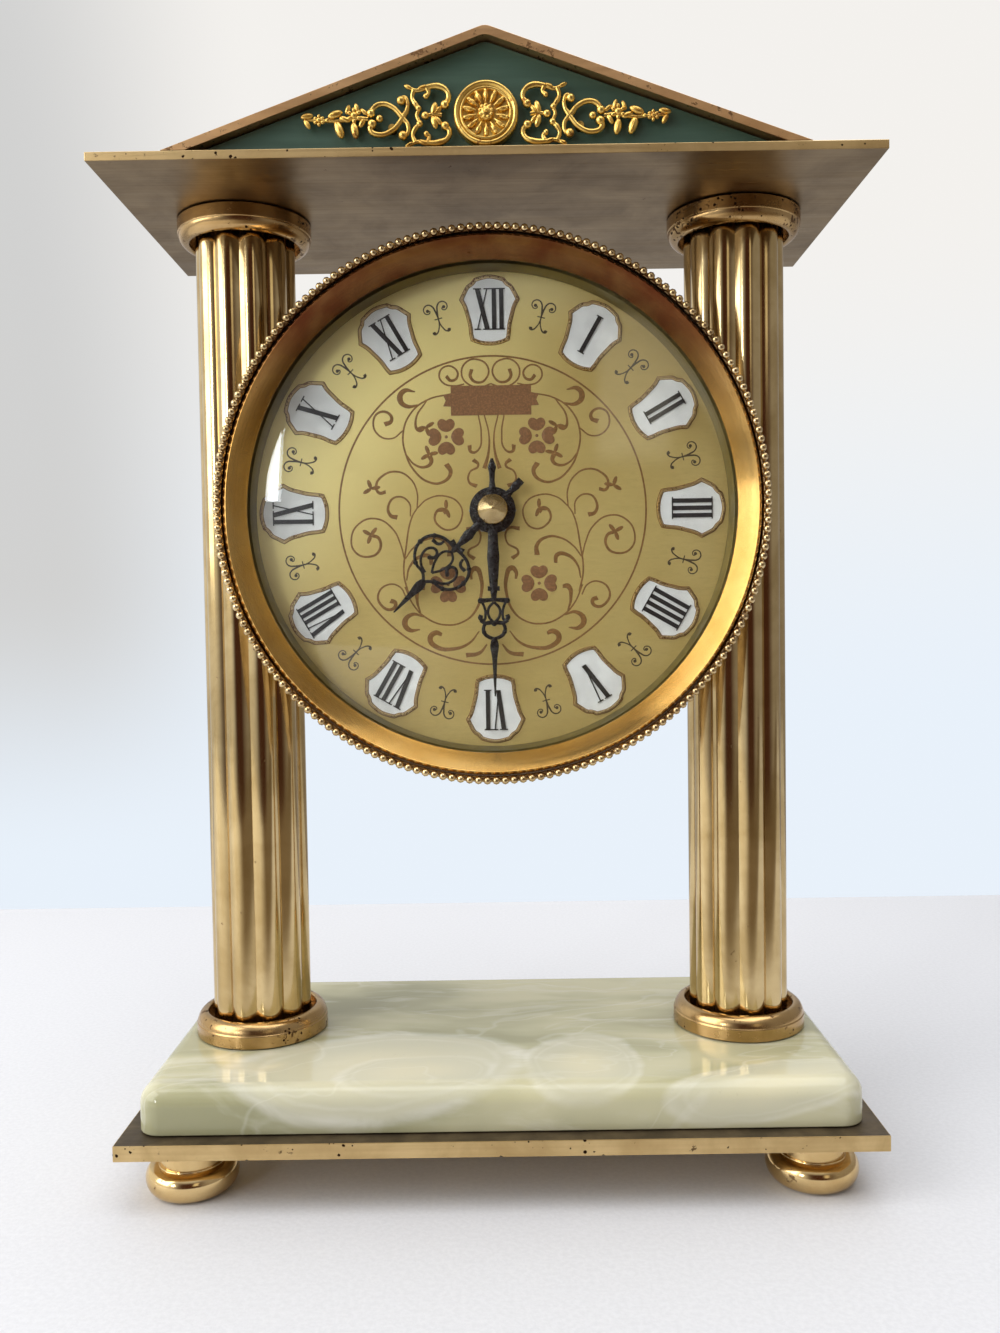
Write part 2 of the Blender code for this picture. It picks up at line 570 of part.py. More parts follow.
def make_dial_plate():
    """The dial and the twelve raised pads that carry the hours."""
    middle = (DIAL_BACK_F + DIAL_FRONT_F) / 2
    dial = flat("dial_plate", [circle(DIAL_RADIUS, 48), circle(DIAL_HOLE, 16)], DIAL_THICKNESS, "dial_gold",
                head(0, middle), FACING_FRONT)
    pad = [(HOUR_PAD_HALF_WIDTH * x, HOUR_PAD_RADIUS + HOUR_PAD_HALF_HEIGHT * y) for x, y in circle(1, 10)]
    pads = [rotated(pad, 30 * hour) for hour in range(12)]
    pad_f = (middle + DIAL_FRONT_F + HOUR_PAD_HEIGHT) / 2
    pad_depth = HOUR_PAD_HEIGHT + DIAL_FRONT_F - middle
    join(dial, flat("hour_pads", pads, pad_depth, "steel", head(0, pad_f), FACING_FRONT))
    flat("dial_nut", [circle(DIAL_NUT_RADIUS, 6), circle(BUSH_RADIUS + GAP, 16)], DIAL_NUT_THICKNESS,
         "steel", head(0, DIAL_FRONT_F + GAP + DIAL_NUT_THICKNESS / 2), FACING_FRONT)


def hand_outline(length, tail, half_width, eye):
    """A leaf on a waisted neck, with a short spade tail, pointing along +Y."""
    right = [(0.0, -tail), (half_width * 0.5, -tail + 1.4), (half_width * 0.55, -tail + 3.0),
             (0.8, -eye - 0.3)]
    right += [(eye * math.cos(math.radians(a)), eye * math.sin(math.radians(a)))
              for a in (-45, -15, 15, 45)]
    right += [(0.8, eye + 0.6), (0.8, length * 0.30), (half_width * 0.9, length * 0.38),
              (half_width, length * 0.50), (half_width * 0.55, length * 0.66), (0.6, length * 0.80),
              (0.35, length * 0.9), (0.0, length)]
    return right + [(-x, y) for x, y in reversed(right) if x > 0]


def make_hands():
    hour = rotated(hand_outline(HOUR_LENGTH, HOUR_TAIL, 3.4, 4.4), -HOUR_CLOCK_ANGLE)
    flat("hour_hand", [hour, circle(PIPE_RADIUS + 0.15, 16)], HAND_THICKNESS, "black_paint",
         head(0, HOUR_HAND_F), FACING_FRONT)
    minute = rotated(hand_outline(MINUTE_LENGTH, MINUTE_TAIL, 3.0, 4.2), -MINUTE_CLOCK_ANGLE)
    flat("minute_hand", [minute, circle(ARBOR_RADIUS + 0.15, 12)], HAND_THICKNESS, "black_paint",
         head(0, MINUTE_HAND_F), FACING_FRONT)
    bore, bore_top = ARBOR_RADIUS + 0.15, ARBOR_FRONT_F + GAP
    profile = [(0, HAND_NUT_F + HAND_NUT_HEIGHT), (1.2, HAND_NUT_F + 3.0), (2.2, HAND_NUT_F + 1.9),
               (HAND_NUT_RADIUS, HAND_NUT_F + 0.4), (HAND_NUT_RADIUS, HAND_NUT_F), (bore, HAND_NUT_F),
               (bore, bore_top), (0, bore_top)]
    turned("hand_nut", profile, "polished_brass", head(0, 0), FACING_FRONT, 20)


# ---------------------------------------------------------------- movement

def gear_outline(teeth, module, phase):
    """Trapezoid teeth with generous backlash; phase is the angle of one tooth's middle."""
    pitch_radius = teeth * module / 2
    tip, root = pitch_radius + 0.7 * module, pitch_radius - 1.0 * module
    pitch = 2 * math.pi / teeth
    points = []
    for tooth in range(teeth):
        middle = phase + tooth * pitch
        for radius, offset in ((root, -0.26), (tip, -0.12), (tip, 0.12), (root, 0.26)):
            angle = middle + offset * pitch
            points.append((radius * math.cos(angle), radius * math.sin(angle)))
    return points


def meshing_phase(driver_phase, driver_teeth, direction, teeth):
    """Phase that puts a gap opposite the driver's nearest tooth; direction runs driver to follower."""
    pitch = 2 * math.pi / driver_teeth
    offset = (driver_phase - direction + pitch / 2) % pitch - pitch / 2
    return direction + math.pi - offset * driver_teeth / teeth + math.pi / teeth


class Wheel:
    """One arbor of the movement: its place and the angle between neighbours."""

    def __init__(self, x, z):
        self.x = x
        self.z = z

    def towards(self, other):
        return math.atan2(other.z - self.z, other.x - self.x)

    def beside(self, distance, degrees):
        angle = math.radians(degrees)
        return Wheel(self.x + distance * math.cos(angle), self.z + distance * math.sin(angle))


CENTRE = Wheel(0.0, 0.0)
MOTION = CENTRE.beside(10.0, 180)
KNOB = MOTION.beside(11.25, 200)
THIRD = CENTRE.beside(14.0, 20)
STEP = THIRD.beside(10.8, 110)
ROTOR = STEP.beside(6.0, 180)

HOUR_MODULE, MOTION_MODULE, CENTRE_MODULE, THIRD_MODULE, STEP_MODULE = 2 / 3, 5 / 6, 2 / 3, 0.6, 0.5
CANNON_TEETH, MOTION_TEETH, MOTION_PINION, HOUR_TEETH, KNOB_TEETH = 6, 18, 6, 24, 9
CENTRE_TEETH, THIRD_PINION, THIRD_TEETH, STEP_PINION, STEP_TEETH, ROTOR_TEETH = 36, 6, 30, 6, 18, 6


def gear(name, teeth, module, phase, bore, wheel, layer, finish, thickness=WHEEL_THICKNESS):
    loops = [gear_outline(teeth, module, phase)]
    if bore:
        loops.append(circle(bore, 12))
    return flat(name, loops, thickness, finish, head(wheel.x, layer, wheel.z), FACING_FRONT)


def arbor(wheel, radius, front=BEARING_FRONT_F, back=BEARING_BACK_F, sides=12):
    return rod("arbor", radius, front - back, "steel", head(wheel.x, (front + back) / 2, wheel.z),
               FACING_FRONT, sides)


def make_motion_work():
    """Cannon pinion, motion wheel, hour wheel and setting knob: they turn with the hands."""
    cannon_phase = CENTRE.towards(MOTION)
    minute_arbor = gear("minute_arbor", CANNON_TEETH, MOTION_MODULE, cannon_phase, 0, CENTRE, LAYER_MOTION,
                        "steel")
    join(minute_arbor, arbor(CENTRE, ARBOR_RADIUS, ARBOR_FRONT_F))

    motion_phase = meshing_phase(cannon_phase, CANNON_TEETH, CENTRE.towards(MOTION), MOTION_TEETH)
    motion = gear("motion_wheel", MOTION_TEETH, MOTION_MODULE, motion_phase, 0, MOTION, LAYER_MOTION,
                  "white_plastic")
    pinion_phase = MOTION.towards(CENTRE)
    pinion_middle = (LAYER_HOUR + LAYER_MOTION) / 2
    join(motion, gear("motion_pinion", MOTION_PINION, HOUR_MODULE, pinion_phase, 0, MOTION, pinion_middle,
                      "steel", LAYER_HOUR - LAYER_MOTION + WHEEL_THICKNESS))
    cut(motion, arbor(MOTION, POST_RADIUS + PIVOT_CLEARANCE))

    hour_phase = meshing_phase(pinion_phase, MOTION_PINION, MOTION.towards(CENTRE), HOUR_TEETH)
    hour = gear("hour_wheel", HOUR_TEETH, HOUR_MODULE, hour_phase, 0, CENTRE, LAYER_HOUR, "white_plastic")
    join(hour, arbor(CENTRE, PIPE_RADIUS, PIPE_FRONT_F, LAYER_HOUR, 16))
    cut(hour, arbor(CENTRE, PIPE_BORE, PIPE_FRONT_F + 1, LAYER_HOUR - 2))

    knob_phase = meshing_phase(motion_phase, MOTION_TEETH, MOTION.towards(KNOB), KNOB_TEETH)
    knob = gear("setting_knob", KNOB_TEETH, MOTION_MODULE, knob_phase, 0, KNOB, LAYER_MOTION, "black_plastic")
    join(knob, arbor(KNOB, KNOB_ARBOR, BEARING_FRONT_F, KNOB_BACK_F))
    join(knob, flat("knob_grip", [gear_outline(KNOB_GRIP_RIBS, KNOB_GRIP_MODULE, 0.0)], KNOB_GRIP_LENGTH,
                    "steel", head(KNOB.x, KNOB_GRIP_F, KNOB.z), FACING_FRONT))


def make_train():
    """Rotor, step wheel, third wheel and centre wheel: the powered train."""
    centre_phase = CENTRE.towards(THIRD)
    gear("centre_wheel", CENTRE_TEETH, CENTRE_MODULE, centre_phase, PIPE_BORE, CENTRE, LAYER_CENTRE,
         "white_plastic")

    third_pinion_phase = meshing_phase(centre_phase, CENTRE_TEETH, CENTRE.towards(THIRD), THIRD_PINION)
    third_phase = THIRD.towards(STEP)
    third = gear("third_wheel", THIRD_TEETH, THIRD_MODULE, third_phase, 0, THIRD, LAYER_THIRD,
                 "white_plastic")
    pinion_front = LAYER_CENTRE + WHEEL_THICKNESS / 2
    pinion_length = pinion_front - LAYER_THIRD
    join(third, gear("third_pinion", THIRD_PINION, CENTRE_MODULE, third_pinion_phase, 0, THIRD,
                     pinion_front - pinion_length / 2, "steel", pinion_length))
    join(third, arbor(THIRD, TRAIN_ARBOR))

    step_pinion_phase = meshing_phase(third_phase, THIRD_TEETH, THIRD.towards(STEP), STEP_PINION)
    step_phase = STEP.towards(ROTOR)
    step = gear("step_wheel", STEP_TEETH, STEP_MODULE, step_phase, 0, STEP, LAYER_STEP, "white_plastic")
    pinion_front = LAYER_THIRD + WHEEL_THICKNESS / 2
    pinion_length = pinion_front - LAYER_STEP
    join(step, gear("step_pinion", STEP_PINION, THIRD_MODULE, step_pinion_phase, 0, STEP,
                    pinion_front - pinion_length / 2, "steel", pinion_length))
    join(step, arbor(STEP, TRAIN_ARBOR))

    rotor_phase = meshing_phase(step_phase, STEP_TEETH, STEP.towards(ROTOR), ROTOR_TEETH)
    rotor = rod("rotor", ROTOR_RADIUS, ROTOR_LENGTH, "steel", head(ROTOR.x, STATOR_F, ROTOR.z),
                FACING_FRONT, 20)
    pinion_front = LAYER_STEP + WHEEL_THICKNESS / 2
    join(rotor, gear("rotor_pinion", ROTOR_TEETH, STEP_MODULE, rotor_phase, 0, ROTOR,
                     (pinion_front + STATOR_F) / 2, "steel", pinion_front - STATOR_F))
    join(rotor, arbor(ROTOR, ROTOR_ARBOR))


def make_front_shell():
    """A tray with the train cavity above and the battery bay below, and the threaded bush in front."""
    height = SHELL_TOP - SHELL_BOTTOM
    middle_z = (SHELL_TOP + SHELL_BOTTOM) / 2
    depth = SHELL_FRONT_F - SHELL_BACK_F
    middle_f = (SHELL_FRONT_F + SHELL_BACK_F) / 2
    shell = box("movement_front_shell", (2 * SHELL_HALF_WIDTH, depth, height), "black_plastic",
                head(0, middle_f, middle_z))
    join(shell, arbor(CENTRE, BUSH_RADIUS, BUSH_FRONT_F, SHELL_FRONT_F - 1, 20))
    inside = 2 * (SHELL_HALF_WIDTH - SHELL_WALL)
    bay = (BATTERY_Z - BATTERY_BAY_HALF_HEIGHT, BATTERY_Z + BATTERY_BAY_HALF_HEIGHT)
    for low, high in ((BATTERY_WALL_Z, SHELL_TOP - SHELL_WALL), bay):
        cut(shell, box("shell_cavity", (inside, depth, high - low), "steel",
                       head(0, middle_f - SHELL_WALL, (high + low) / 2)))
    join(shell, arbor(MOTION, POST_RADIUS, SHELL_FRONT_F - 1, LAYER_MOTION - WHEEL_THICKNESS / 2 - GAP))
    cut(shell, arbor(CENTRE, BUSH_BORE, BUSH_FRONT_F + 1, SHELL_FRONT_F - 3, 16))
    front = BEARING_FRONT_F + GAP
    for wheel, radius in ((THIRD, TRAIN_ARBOR), (STEP, TRAIN_ARBOR), (ROTOR, ROTOR_ARBOR),
                          (KNOB, KNOB_ARBOR)):
        cut(shell, arbor(wheel, radius + PIVOT_CLEARANCE, front, 9.0))
    return shell


def make_rear_shell():
    low, high = BATTERY_WALL_Z - 0.9, SHELL_TOP
    corners = [(SHELL_HALF_WIDTH, low), (SHELL_HALF_WIDTH, high), (-SHELL_HALF_WIDTH, high),
               (-SHELL_HALF_WIDTH, low)]
    arbors = ((CENTRE, ARBOR_RADIUS), (THIRD, TRAIN_ARBOR), (STEP, TRAIN_ARBOR), (ROTOR, ROTOR_ARBOR),
              (KNOB, KNOB_ARBOR))
    holes = [circle(radius + PIVOT_CLEARANCE, 12, wheel.x, wheel.z) for wheel, radius in arbors]
    return flat("movement_rear_shell", [corners] + holes, REAR_SHELL_THICKNESS, "black_plastic",
                head(0, REAR_SHELL_F), FACING_FRONT)


def make_drive():
    """Stator, coil, circuit board, crystal, battery and its two contacts."""
    bar, arch, right = STATOR_BAR_HALF, STATOR_ARCH_HALF, ROTOR.x + 4.3
    outline = [(STATOR_LEFT, -bar), (ROTOR.x - 5.4, -bar), (ROTOR.x - 4.6, -arch), (right, -arch),
               (right, arch), (ROTOR.x - 4.6, arch), (ROTOR.x - 5.4, bar), (STATOR_LEFT, bar)]
    flat("stator", [outline, circle(STATOR_BORE, 20, ROTOR.x)], 1.0, "steel", head(0, STATOR_F, ROTOR.z),
         FACING_FRONT)
    flat("coil", [circle(COIL_RADIUS, 20), circle(COIL_BORE, 12)], COIL_LENGTH, "copper",
         head(COIL_X, STATOR_F, ROTOR.z), ALONG_X)
    box("circuit_board", BOARD_SIZE, "board_green", head(*BOARD_AT))
    rod("quartz_crystal", CRYSTAL_RADIUS, CRYSTAL_LENGTH, "steel", head(*CRYSTAL_AT), ALONG_X, 12)
    end, nub_end = BATTERY_HALF_LENGTH, BATTERY_HALF_LENGTH + BATTERY_NUB_LENGTH
    profile = [(0, nub_end), (BATTERY_NUB_RADIUS, nub_end), (BATTERY_NUB_RADIUS, end),
               (BATTERY_RADIUS - 0.4, end), (BATTERY_RADIUS, end - 0.5), (BATTERY_RADIUS, -end), (0, -end)]
    turned("battery", profile, "battery_wrap", head(BATTERY_X, BATTERY_F, BATTERY_Z), ALONG_X, 24)
    for sign, x in CONTACT_X.items():
        box("battery_contact_" + sign, CONTACT_SIZE, "steel", head(x, BATTERY_F, BATTERY_Z))


# ---------------------------------------------------------------- rear door

def make_rear_door():
    """A round door on a side hinge, with its knuckle, the pin and a small pull."""
    edge = [(x, z) for x, z in circle(DOOR_RADIUS, 48) if abs(z) > 2.5 or x > 0]
    first_below = next(i for i, (x, z) in enumerate(edge) if z < -2.5 and x < 0)
    lug_half = KNUCKLE_HALF_LENGTH - GAP
    lug = [(-DOOR_RADIUS + 0.2, lug_half), (HINGE_X + 0.3, lug_half), (HINGE_X + 0.3, -lug_half),
           (-DOOR_RADIUS + 0.2, -lug_half)]
    outline = edge[:first_below] + lug + edge[first_below:]
    door = flat("rear_door", [outline, circle(DOOR_KNOB_HOLE, 12, DOOR_KNOB_X)], DOOR_THICKNESS,
                "brushed_brass", head(0, DOOR_F), FACING_FRONT)
    length = 2 * KNUCKLE_HALF_LENGTH
    join(door, rod("door_knuckle", KNUCKLE_RADIUS, length, "steel", head(HINGE_X, DOOR_F), sides=16))
    cut(door, rod("door_pin_hole", KNUCKLE_BORE, 20, "steel", head(HINGE_X, DOOR_F), sides=12))
    rod("hinge_pin", PIN_RADIUS, 2 * HINGE_HALF_LENGTH + 1, "steel", head(HINGE_X, DOOR_F), sides=12)
    shank = DOOR_KNOB_HOLE - GAP
    profile = [(0, 7.4), (2.2, 7.2), (3.4, 6.0), (3.4, 4.4), (1.8, 2.6), (2.4, 1.0), (shank, 1.0),
               (shank, -1.6), (0, -1.6)]
    turned("door_knob", profile, "polished_brass", head(DOOR_KNOB_X, DOOR_F), FACING_BACK, 20)


# ---------------------------------------------------------------- assembly

def build_clock():
    make_base_plate()
    make_onyx_base()
    for side in SIDES:
        for end in ("front", "rear"):
            make_foot(side, end)
        make_column_set(side)
        make_case_fixings(side)
    make_cornice_plate()
    make_pediment_roof()
    make_pediment_panels()
    make_ornament()
    make_head_case()
    make_bezel()
    make_dial_surround()
    make_dome_glass()
    make_dial_plate()
    make_hands()
    make_motion_work()
    make_train()
    make_front_shell()
    make_rear_shell()
    make_drive()
    make_rear_door()


clear_scene()
PARTS = new_collection("mantel_clock")
TOOLS = new_collection("helper_shapes")
build_clock()
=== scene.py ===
import json
import math

import bmesh
import bpy
from mathutils import Matrix, Vector


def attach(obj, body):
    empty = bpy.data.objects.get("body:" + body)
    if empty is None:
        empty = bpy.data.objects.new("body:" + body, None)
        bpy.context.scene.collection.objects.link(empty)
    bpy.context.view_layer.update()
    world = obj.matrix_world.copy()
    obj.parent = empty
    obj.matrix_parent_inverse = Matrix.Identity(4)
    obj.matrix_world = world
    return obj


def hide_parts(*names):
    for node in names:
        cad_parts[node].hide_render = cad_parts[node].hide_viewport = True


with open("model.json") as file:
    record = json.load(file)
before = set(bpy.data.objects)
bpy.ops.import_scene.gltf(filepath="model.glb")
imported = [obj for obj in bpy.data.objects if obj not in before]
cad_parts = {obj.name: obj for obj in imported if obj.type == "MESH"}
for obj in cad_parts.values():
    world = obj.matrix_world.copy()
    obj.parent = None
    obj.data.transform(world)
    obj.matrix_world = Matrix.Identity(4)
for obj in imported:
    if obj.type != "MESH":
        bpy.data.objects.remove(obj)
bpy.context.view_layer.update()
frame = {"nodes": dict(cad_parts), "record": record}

# A brass and onyx mantel clock. Sizes are in millimetres and turned to metres when a piece is finished.
# Round the head, x runs to the right, y up and z towards the viewer.

MM = 0.001
HEAD_HEIGHT = 153.8                     # the dial's middle above the table
COLUMN_X = 60.0                         # from the middle to a column's own middle
SLAB_SIZE, SLAB_MIDDLE = (161.0, 75.5, 10.3), 21.25
SLAB_TOP = SLAB_MIDDLE + SLAB_SIZE[2] / 2
PLATE_SIZE, PLATE_MIDDLE = (168.0, 83.0, 3.5), 14.05
TO_THE_FRONT = Matrix.Rotation(math.pi / 2, 4, "X")
UPSIDE_DOWN = Matrix.Rotation(math.pi, 4, "X")
SIDES = {"left": -1, "right": 1}
BOTH_HALVES = [Matrix(), Matrix.Diagonal((-1, 1, 1, 1))]


# ---------------------------------------------------------------- places

def standing(x=0.0, y=0.0, z=0.0):
    return Matrix.Translation((x, y, z))


def on_head(forward=0.0, x=0.0, up=0.0):
    """A place facing the viewer, that far in front of the columns' middle line."""
    return Matrix.Translation((x, -forward, HEAD_HEIGHT + up)) @ TO_THE_FRONT


def turned_round(degrees):
    """A turn in the dial's own plane, clockwise as the viewer sees it."""
    return Matrix.Rotation(-math.radians(degrees), 4, "Z")


def all_round(count):
    """Evenly spaced turns that go once round."""
    return [turned_round(360 * step / count) for step in range(count)]


# ---------------------------------------------------------------- shader nodes

def add_node(tree, kind, wires=None, **settings):
    """Add one shader node, set it up, and wire or fill its inputs."""
    node = tree.nodes.new("ShaderNode" + kind)
    for name, value in settings.items():
        setattr(node, name, value)
    for name, value in (wires or {}).items():
        if isinstance(value, bpy.types.NodeSocket):
            tree.links.new(value, node.inputs[name])
        else:
            node.inputs[name].default_value = value
    return node


def split(tree, vector):
    """The x, y and z of a vector."""
    return add_node(tree, "SeparateXYZ", {0: vector}).outputs


def sum_of(tree, operation, first, second=0.5, third=0.5):
    """One step of arithmetic on values."""
    wires = dict(enumerate((first, second, third)))
    return add_node(tree, "Math", wires, operation=operation).outputs[0]


def ramp(tree, value, low, high, start=0.0, end=1.0):
    """Ease a value from start to end as it passes from low to high."""
    wires = {"Value": value, "From Min": low, "From Max": high, "To Min": start, "To Max": end}
    return add_node(tree, "MapRange", wires, interpolation_type="SMOOTHSTEP").outputs[0]


def blend(tree, amount, first, second, how="MIX"):
    """Blend two colours by an amount."""
    wires = {0: amount, 6: first, 7: second}
    return add_node(tree, "Mix", wires, data_type="RGBA", blend_type=how).outputs[2]


def noise(tree, place, scale, detail=4.0, rough=0.55, warp=0.0):
    wires = {"Vector": place, "Scale": scale, "Detail": detail, "Roughness": rough, "Distortion": warp}
    return add_node(tree, "TexNoise", wires).outputs["Fac"]


def moved(tree, place, scale=(1, 1, 1), shift=(0, 0, 0), turn=(0, 0, 0)):
    wires = {"Vector": place, "Scale": scale, "Location": shift, "Rotation": turn}
    return add_node(tree, "Mapping", wires).outputs[0]


def new_group(name, inputs, outputs):
    """Start a node group whose sockets are given as name: kind."""
    tree = bpy.data.node_groups.new(name, "ShaderNodeTree")
    for direction, sockets in (("INPUT", inputs), ("OUTPUT", outputs)):
        for socket, kind in sockets.items():
            tree.interface.new_socket(socket, in_out=direction, socket_type="NodeSocket" + kind)
    entry = tree.nodes.new("NodeGroupInput")
    leave = tree.nodes.new("NodeGroupOutput")
    return tree, entry.outputs, leave.inputs


def use_group(tree, group, wires):
    """Place one of the shared groups and fill its inputs."""
    return add_node(tree, "Group", wires, node_tree=group).outputs


def make_specks():
    """Small dark pits of uneven size: a share of the cells of a fine pattern holds one each."""
    tree, given, out = new_group(
        "specks", {"Place": "Vector", "Scale": "Float", "Share": "Float", "Patch": "Float"},
        {"Mask": "Float"})
    cells = add_node(tree, "TexVoronoi", {"Vector": given["Place"], "Scale": given["Scale"],
                                          "Randomness": 1.0})
    chance = add_node(tree, "SeparateColor", {0: cells.outputs["Color"]}).outputs[0]
    ragged = noise(tree, given["Place"], sum_of(tree, "MULTIPLY", given["Scale"], 2.1), 3.0)
    patches = noise(tree, given["Place"], given["Patch"], 3.0)
    share = sum_of(tree, "MULTIPLY", ramp(tree, patches, 0.38, 0.62, 0.15, 1.0), given["Share"])
    over = sum_of(tree, "SUBTRACT", chance, sum_of(tree, "SUBTRACT", 1.0, share))
    reach = sum_of(tree, "MULTIPLY", ramp(tree, over, 0.0, 0.3, 0.0, 0.5), sum_of(tree, "ADD", ragged, 0.3))
    depth = sum_of(tree, "SUBTRACT", reach, cells.outputs["Distance"])
    tree.links.new(ramp(tree, depth, -0.05, 0.06), out["Mask"])
    return tree


def make_tarnish():
    """Ragged blotches where the lacquer has gone, gathered here and there."""
    tree, given, out = new_group(
        "tarnish", {"Place": "Vector", "Scale": "Float", "Cover": "Float"}, {"Mask": "Float"})
    shape = noise(tree, given["Place"], given["Scale"], 8.0, 0.68, 0.3)
    spread = noise(tree, given["Place"], sum_of(tree, "MULTIPLY", given["Scale"], 0.16), 2.0)
    limit = sum_of(tree, "SUBTRACT", 0.80, sum_of(tree, "MULTIPLY", given["Cover"], spread))
    over = sum_of(tree, "SUBTRACT", shape, limit)
    tree.links.new(ramp(tree, over, -0.015, 0.035), out["Mask"])
    return tree


def make_grain():
    """Brushed or rolled lines: noise drawn out along one direction, fine over coarse."""
    tree, given, out = new_group(
        "grain", {"Place": "Vector", "Stretch": "Vector", "Scale": "Float"}, {"Value": "Float"})
    drawn = add_node(tree, "VectorMath", {0: given["Place"], 1: given["Stretch"]}, operation="MULTIPLY")
    fine = noise(tree, drawn.outputs[0], given["Scale"], 5.0, 0.7)
    coarse = noise(tree, drawn.outputs[0], sum_of(tree, "MULTIPLY", given["Scale"], 0.22), 3.0)
    mixed = sum_of(tree, "ADD", sum_of(tree, "MULTIPLY", fine, 0.65), sum_of(tree, "MULTIPLY", coarse, 0.35))
    tree.links.new(mixed, out["Value"])
    return tree


def make_ringed():
    """Places for turned metal: radius from an axis, a little of the angle, and the height."""
    tree, given, out = new_group("ringed", {"Place": "Vector"}, {"Place": "Vector"})
    parts = split(tree, given["Place"])
    flat = add_node(tree, "CombineXYZ", {0: parts[0], 1: parts[1]}).outputs[0]
    length = add_node(tree, "VectorMath", {0: flat}, operation="LENGTH")
    angle = sum_of(tree, "ARCTAN2", parts[0], parts[1])
    wires = {0: length.outputs["Value"], 1: sum_of(tree, "MULTIPLY", angle, 0.002), 2: parts[2]}
    tree.links.new(add_node(tree, "CombineXYZ", wires).outputs[0], out["Place"])
    return tree


SPECKS = make_specks()
TARNISH = make_tarnish()
GRAIN = make_grain()
RINGED = make_ringed()
FINISHES = {}


class Finish:
    """One material: its tree, its place on the piece and its shader."""

    def __init__(self, name, **values):
        self.name = name
        self.material = bpy.data.materials.new(name)
        self.material.use_nodes = True
        self.tree = self.material.node_tree
        self.shader = self.tree.nodes["Principled BSDF"]
        self.place = add_node(self.tree, "TexCoord").outputs["Object"]
        for socket, value in values.items():
            self.shader.inputs[socket.replace("_", " ")].default_value = value
        FINISHES[name] = self

    def wire(self, socket, value):
        self.tree.links.new(value, self.shader.inputs[socket])

    def bump(self, height, depth_mm, strength=1.0):
        wires = {"Height": height, "Distance": depth_mm * MM, "Strength": strength}
        node = add_node(self.tree, "Bump", wires)
        self.wire("Normal", node.outputs[0])

    def specks(self, scale, share, patch=90.0):
        wires = {"Place": self.place, "Scale": scale, "Share": share, "Patch": patch}
        return use_group(self.tree, SPECKS, wires)["Mask"]

    def tarnish(self, scale, cover):
        return use_group(self.tree, TARNISH, {"Place": self.place, "Scale": scale, "Cover": cover})["Mask"]

    def grain(self, stretch, scale=1000.0):
        wires = {"Place": self.place, "Stretch": stretch, "Scale": scale}
        return use_group(self.tree, GRAIN, wires)["Value"]

    def from_axis(self, centre, facing_front=False):
        """Read the pattern as rings round an upright axis, or one that faces the front."""
        turn = (-math.pi / 2, 0, 0) if facing_front else (0, 0, 0)
        settled = moved(self.tree, self.place, shift=tuple(-c * MM for c in centre))
        if facing_front:
            settled = moved(self.tree, settled, turn=turn)
        self.place = use_group(self.tree, RINGED, {"Place": settled})["Place"]


def brass(name, colour, shade, roughness, grain, specks=(1300.0, 0.0), blotches=(300.0, 0.0),
          speck_colour=(0.05, 0.022, 0.010), depth=0.01, axis=None, painted_reflection=None):
    """Brass whose colour drifts between two tones, with tool lines, dark pits and tarnished blotches.

    Grain is its stretch, scale and amount, specks their scale and share, blotches their scale and cover,
    depth the relief in millimetres, and the painted reflection its lower and upper height, colour and amount:
    a dark reflection painted over the upper part.
    """
    finish = Finish(name, Metallic=1.0, Specular_IOR_Level=0.5)
    tree = finish.tree
    specks = finish.specks(*specks)
    stains = finish.tarnish(*blotches)
    cloud = noise(tree, finish.place, 70.0, 5.0, 0.6, 0.4)
    # A painted dark reflection: the colour turns dark red-brown over the upper part, by height.
    if painted_reflection:
        low, high, painted_reflection_colour, amount = painted_reflection
        height = split(tree, finish.place)[2]
        uneven = ramp(tree, cloud, 0.3, 0.7, 0.85 * amount, amount)
        painted_reflection = sum_of(tree, "MULTIPLY", ramp(tree, height, low * MM, high * MM), uneven)
    if axis:
        finish.from_axis(*axis)
    stretch, scale, lines = grain
    grain = finish.grain(stretch, scale)
    tone = blend(tree, ramp(tree, cloud, 0.3, 0.72), (*colour, 1), (*shade, 1))
    tone = blend(tree, ramp(tree, grain, 0.35, 0.75, 0.0, lines), tone, (*shade, 1))
    # Lay the painted dark reflection over the tone.
    if painted_reflection:
        tone = blend(tree, painted_reflection, tone, (*painted_reflection_colour, 1))
    tone = blend(tree, sum_of(tree, "MULTIPLY", stains, 0.8), tone, (*(2.2 * c for c in speck_colour), 1))
    finish.wire("Base Color", blend(tree, specks, tone, (*speck_colour, 1)))
    shine = ramp(tree, grain, 0.3, 0.7, roughness[0], roughness[1])
    dull = sum_of(tree, "MULTIPLY", ramp(tree, cloud, 0.4, 0.8), 0.06)
    marks = sum_of(tree, "MAXIMUM", sum_of(tree, "MULTIPLY", stains, 0.6),
                   sum_of(tree, "MULTIPLY", specks, 0.75))
    finish.wire("Roughness", sum_of(tree, "MAXIMUM", sum_of(tree, "ADD", shine, dull), marks))
    relief = sum_of(tree, "SUBTRACT", sum_of(tree, "MULTIPLY", grain, lines), specks)
    finish.bump(relief, depth)
    return finish


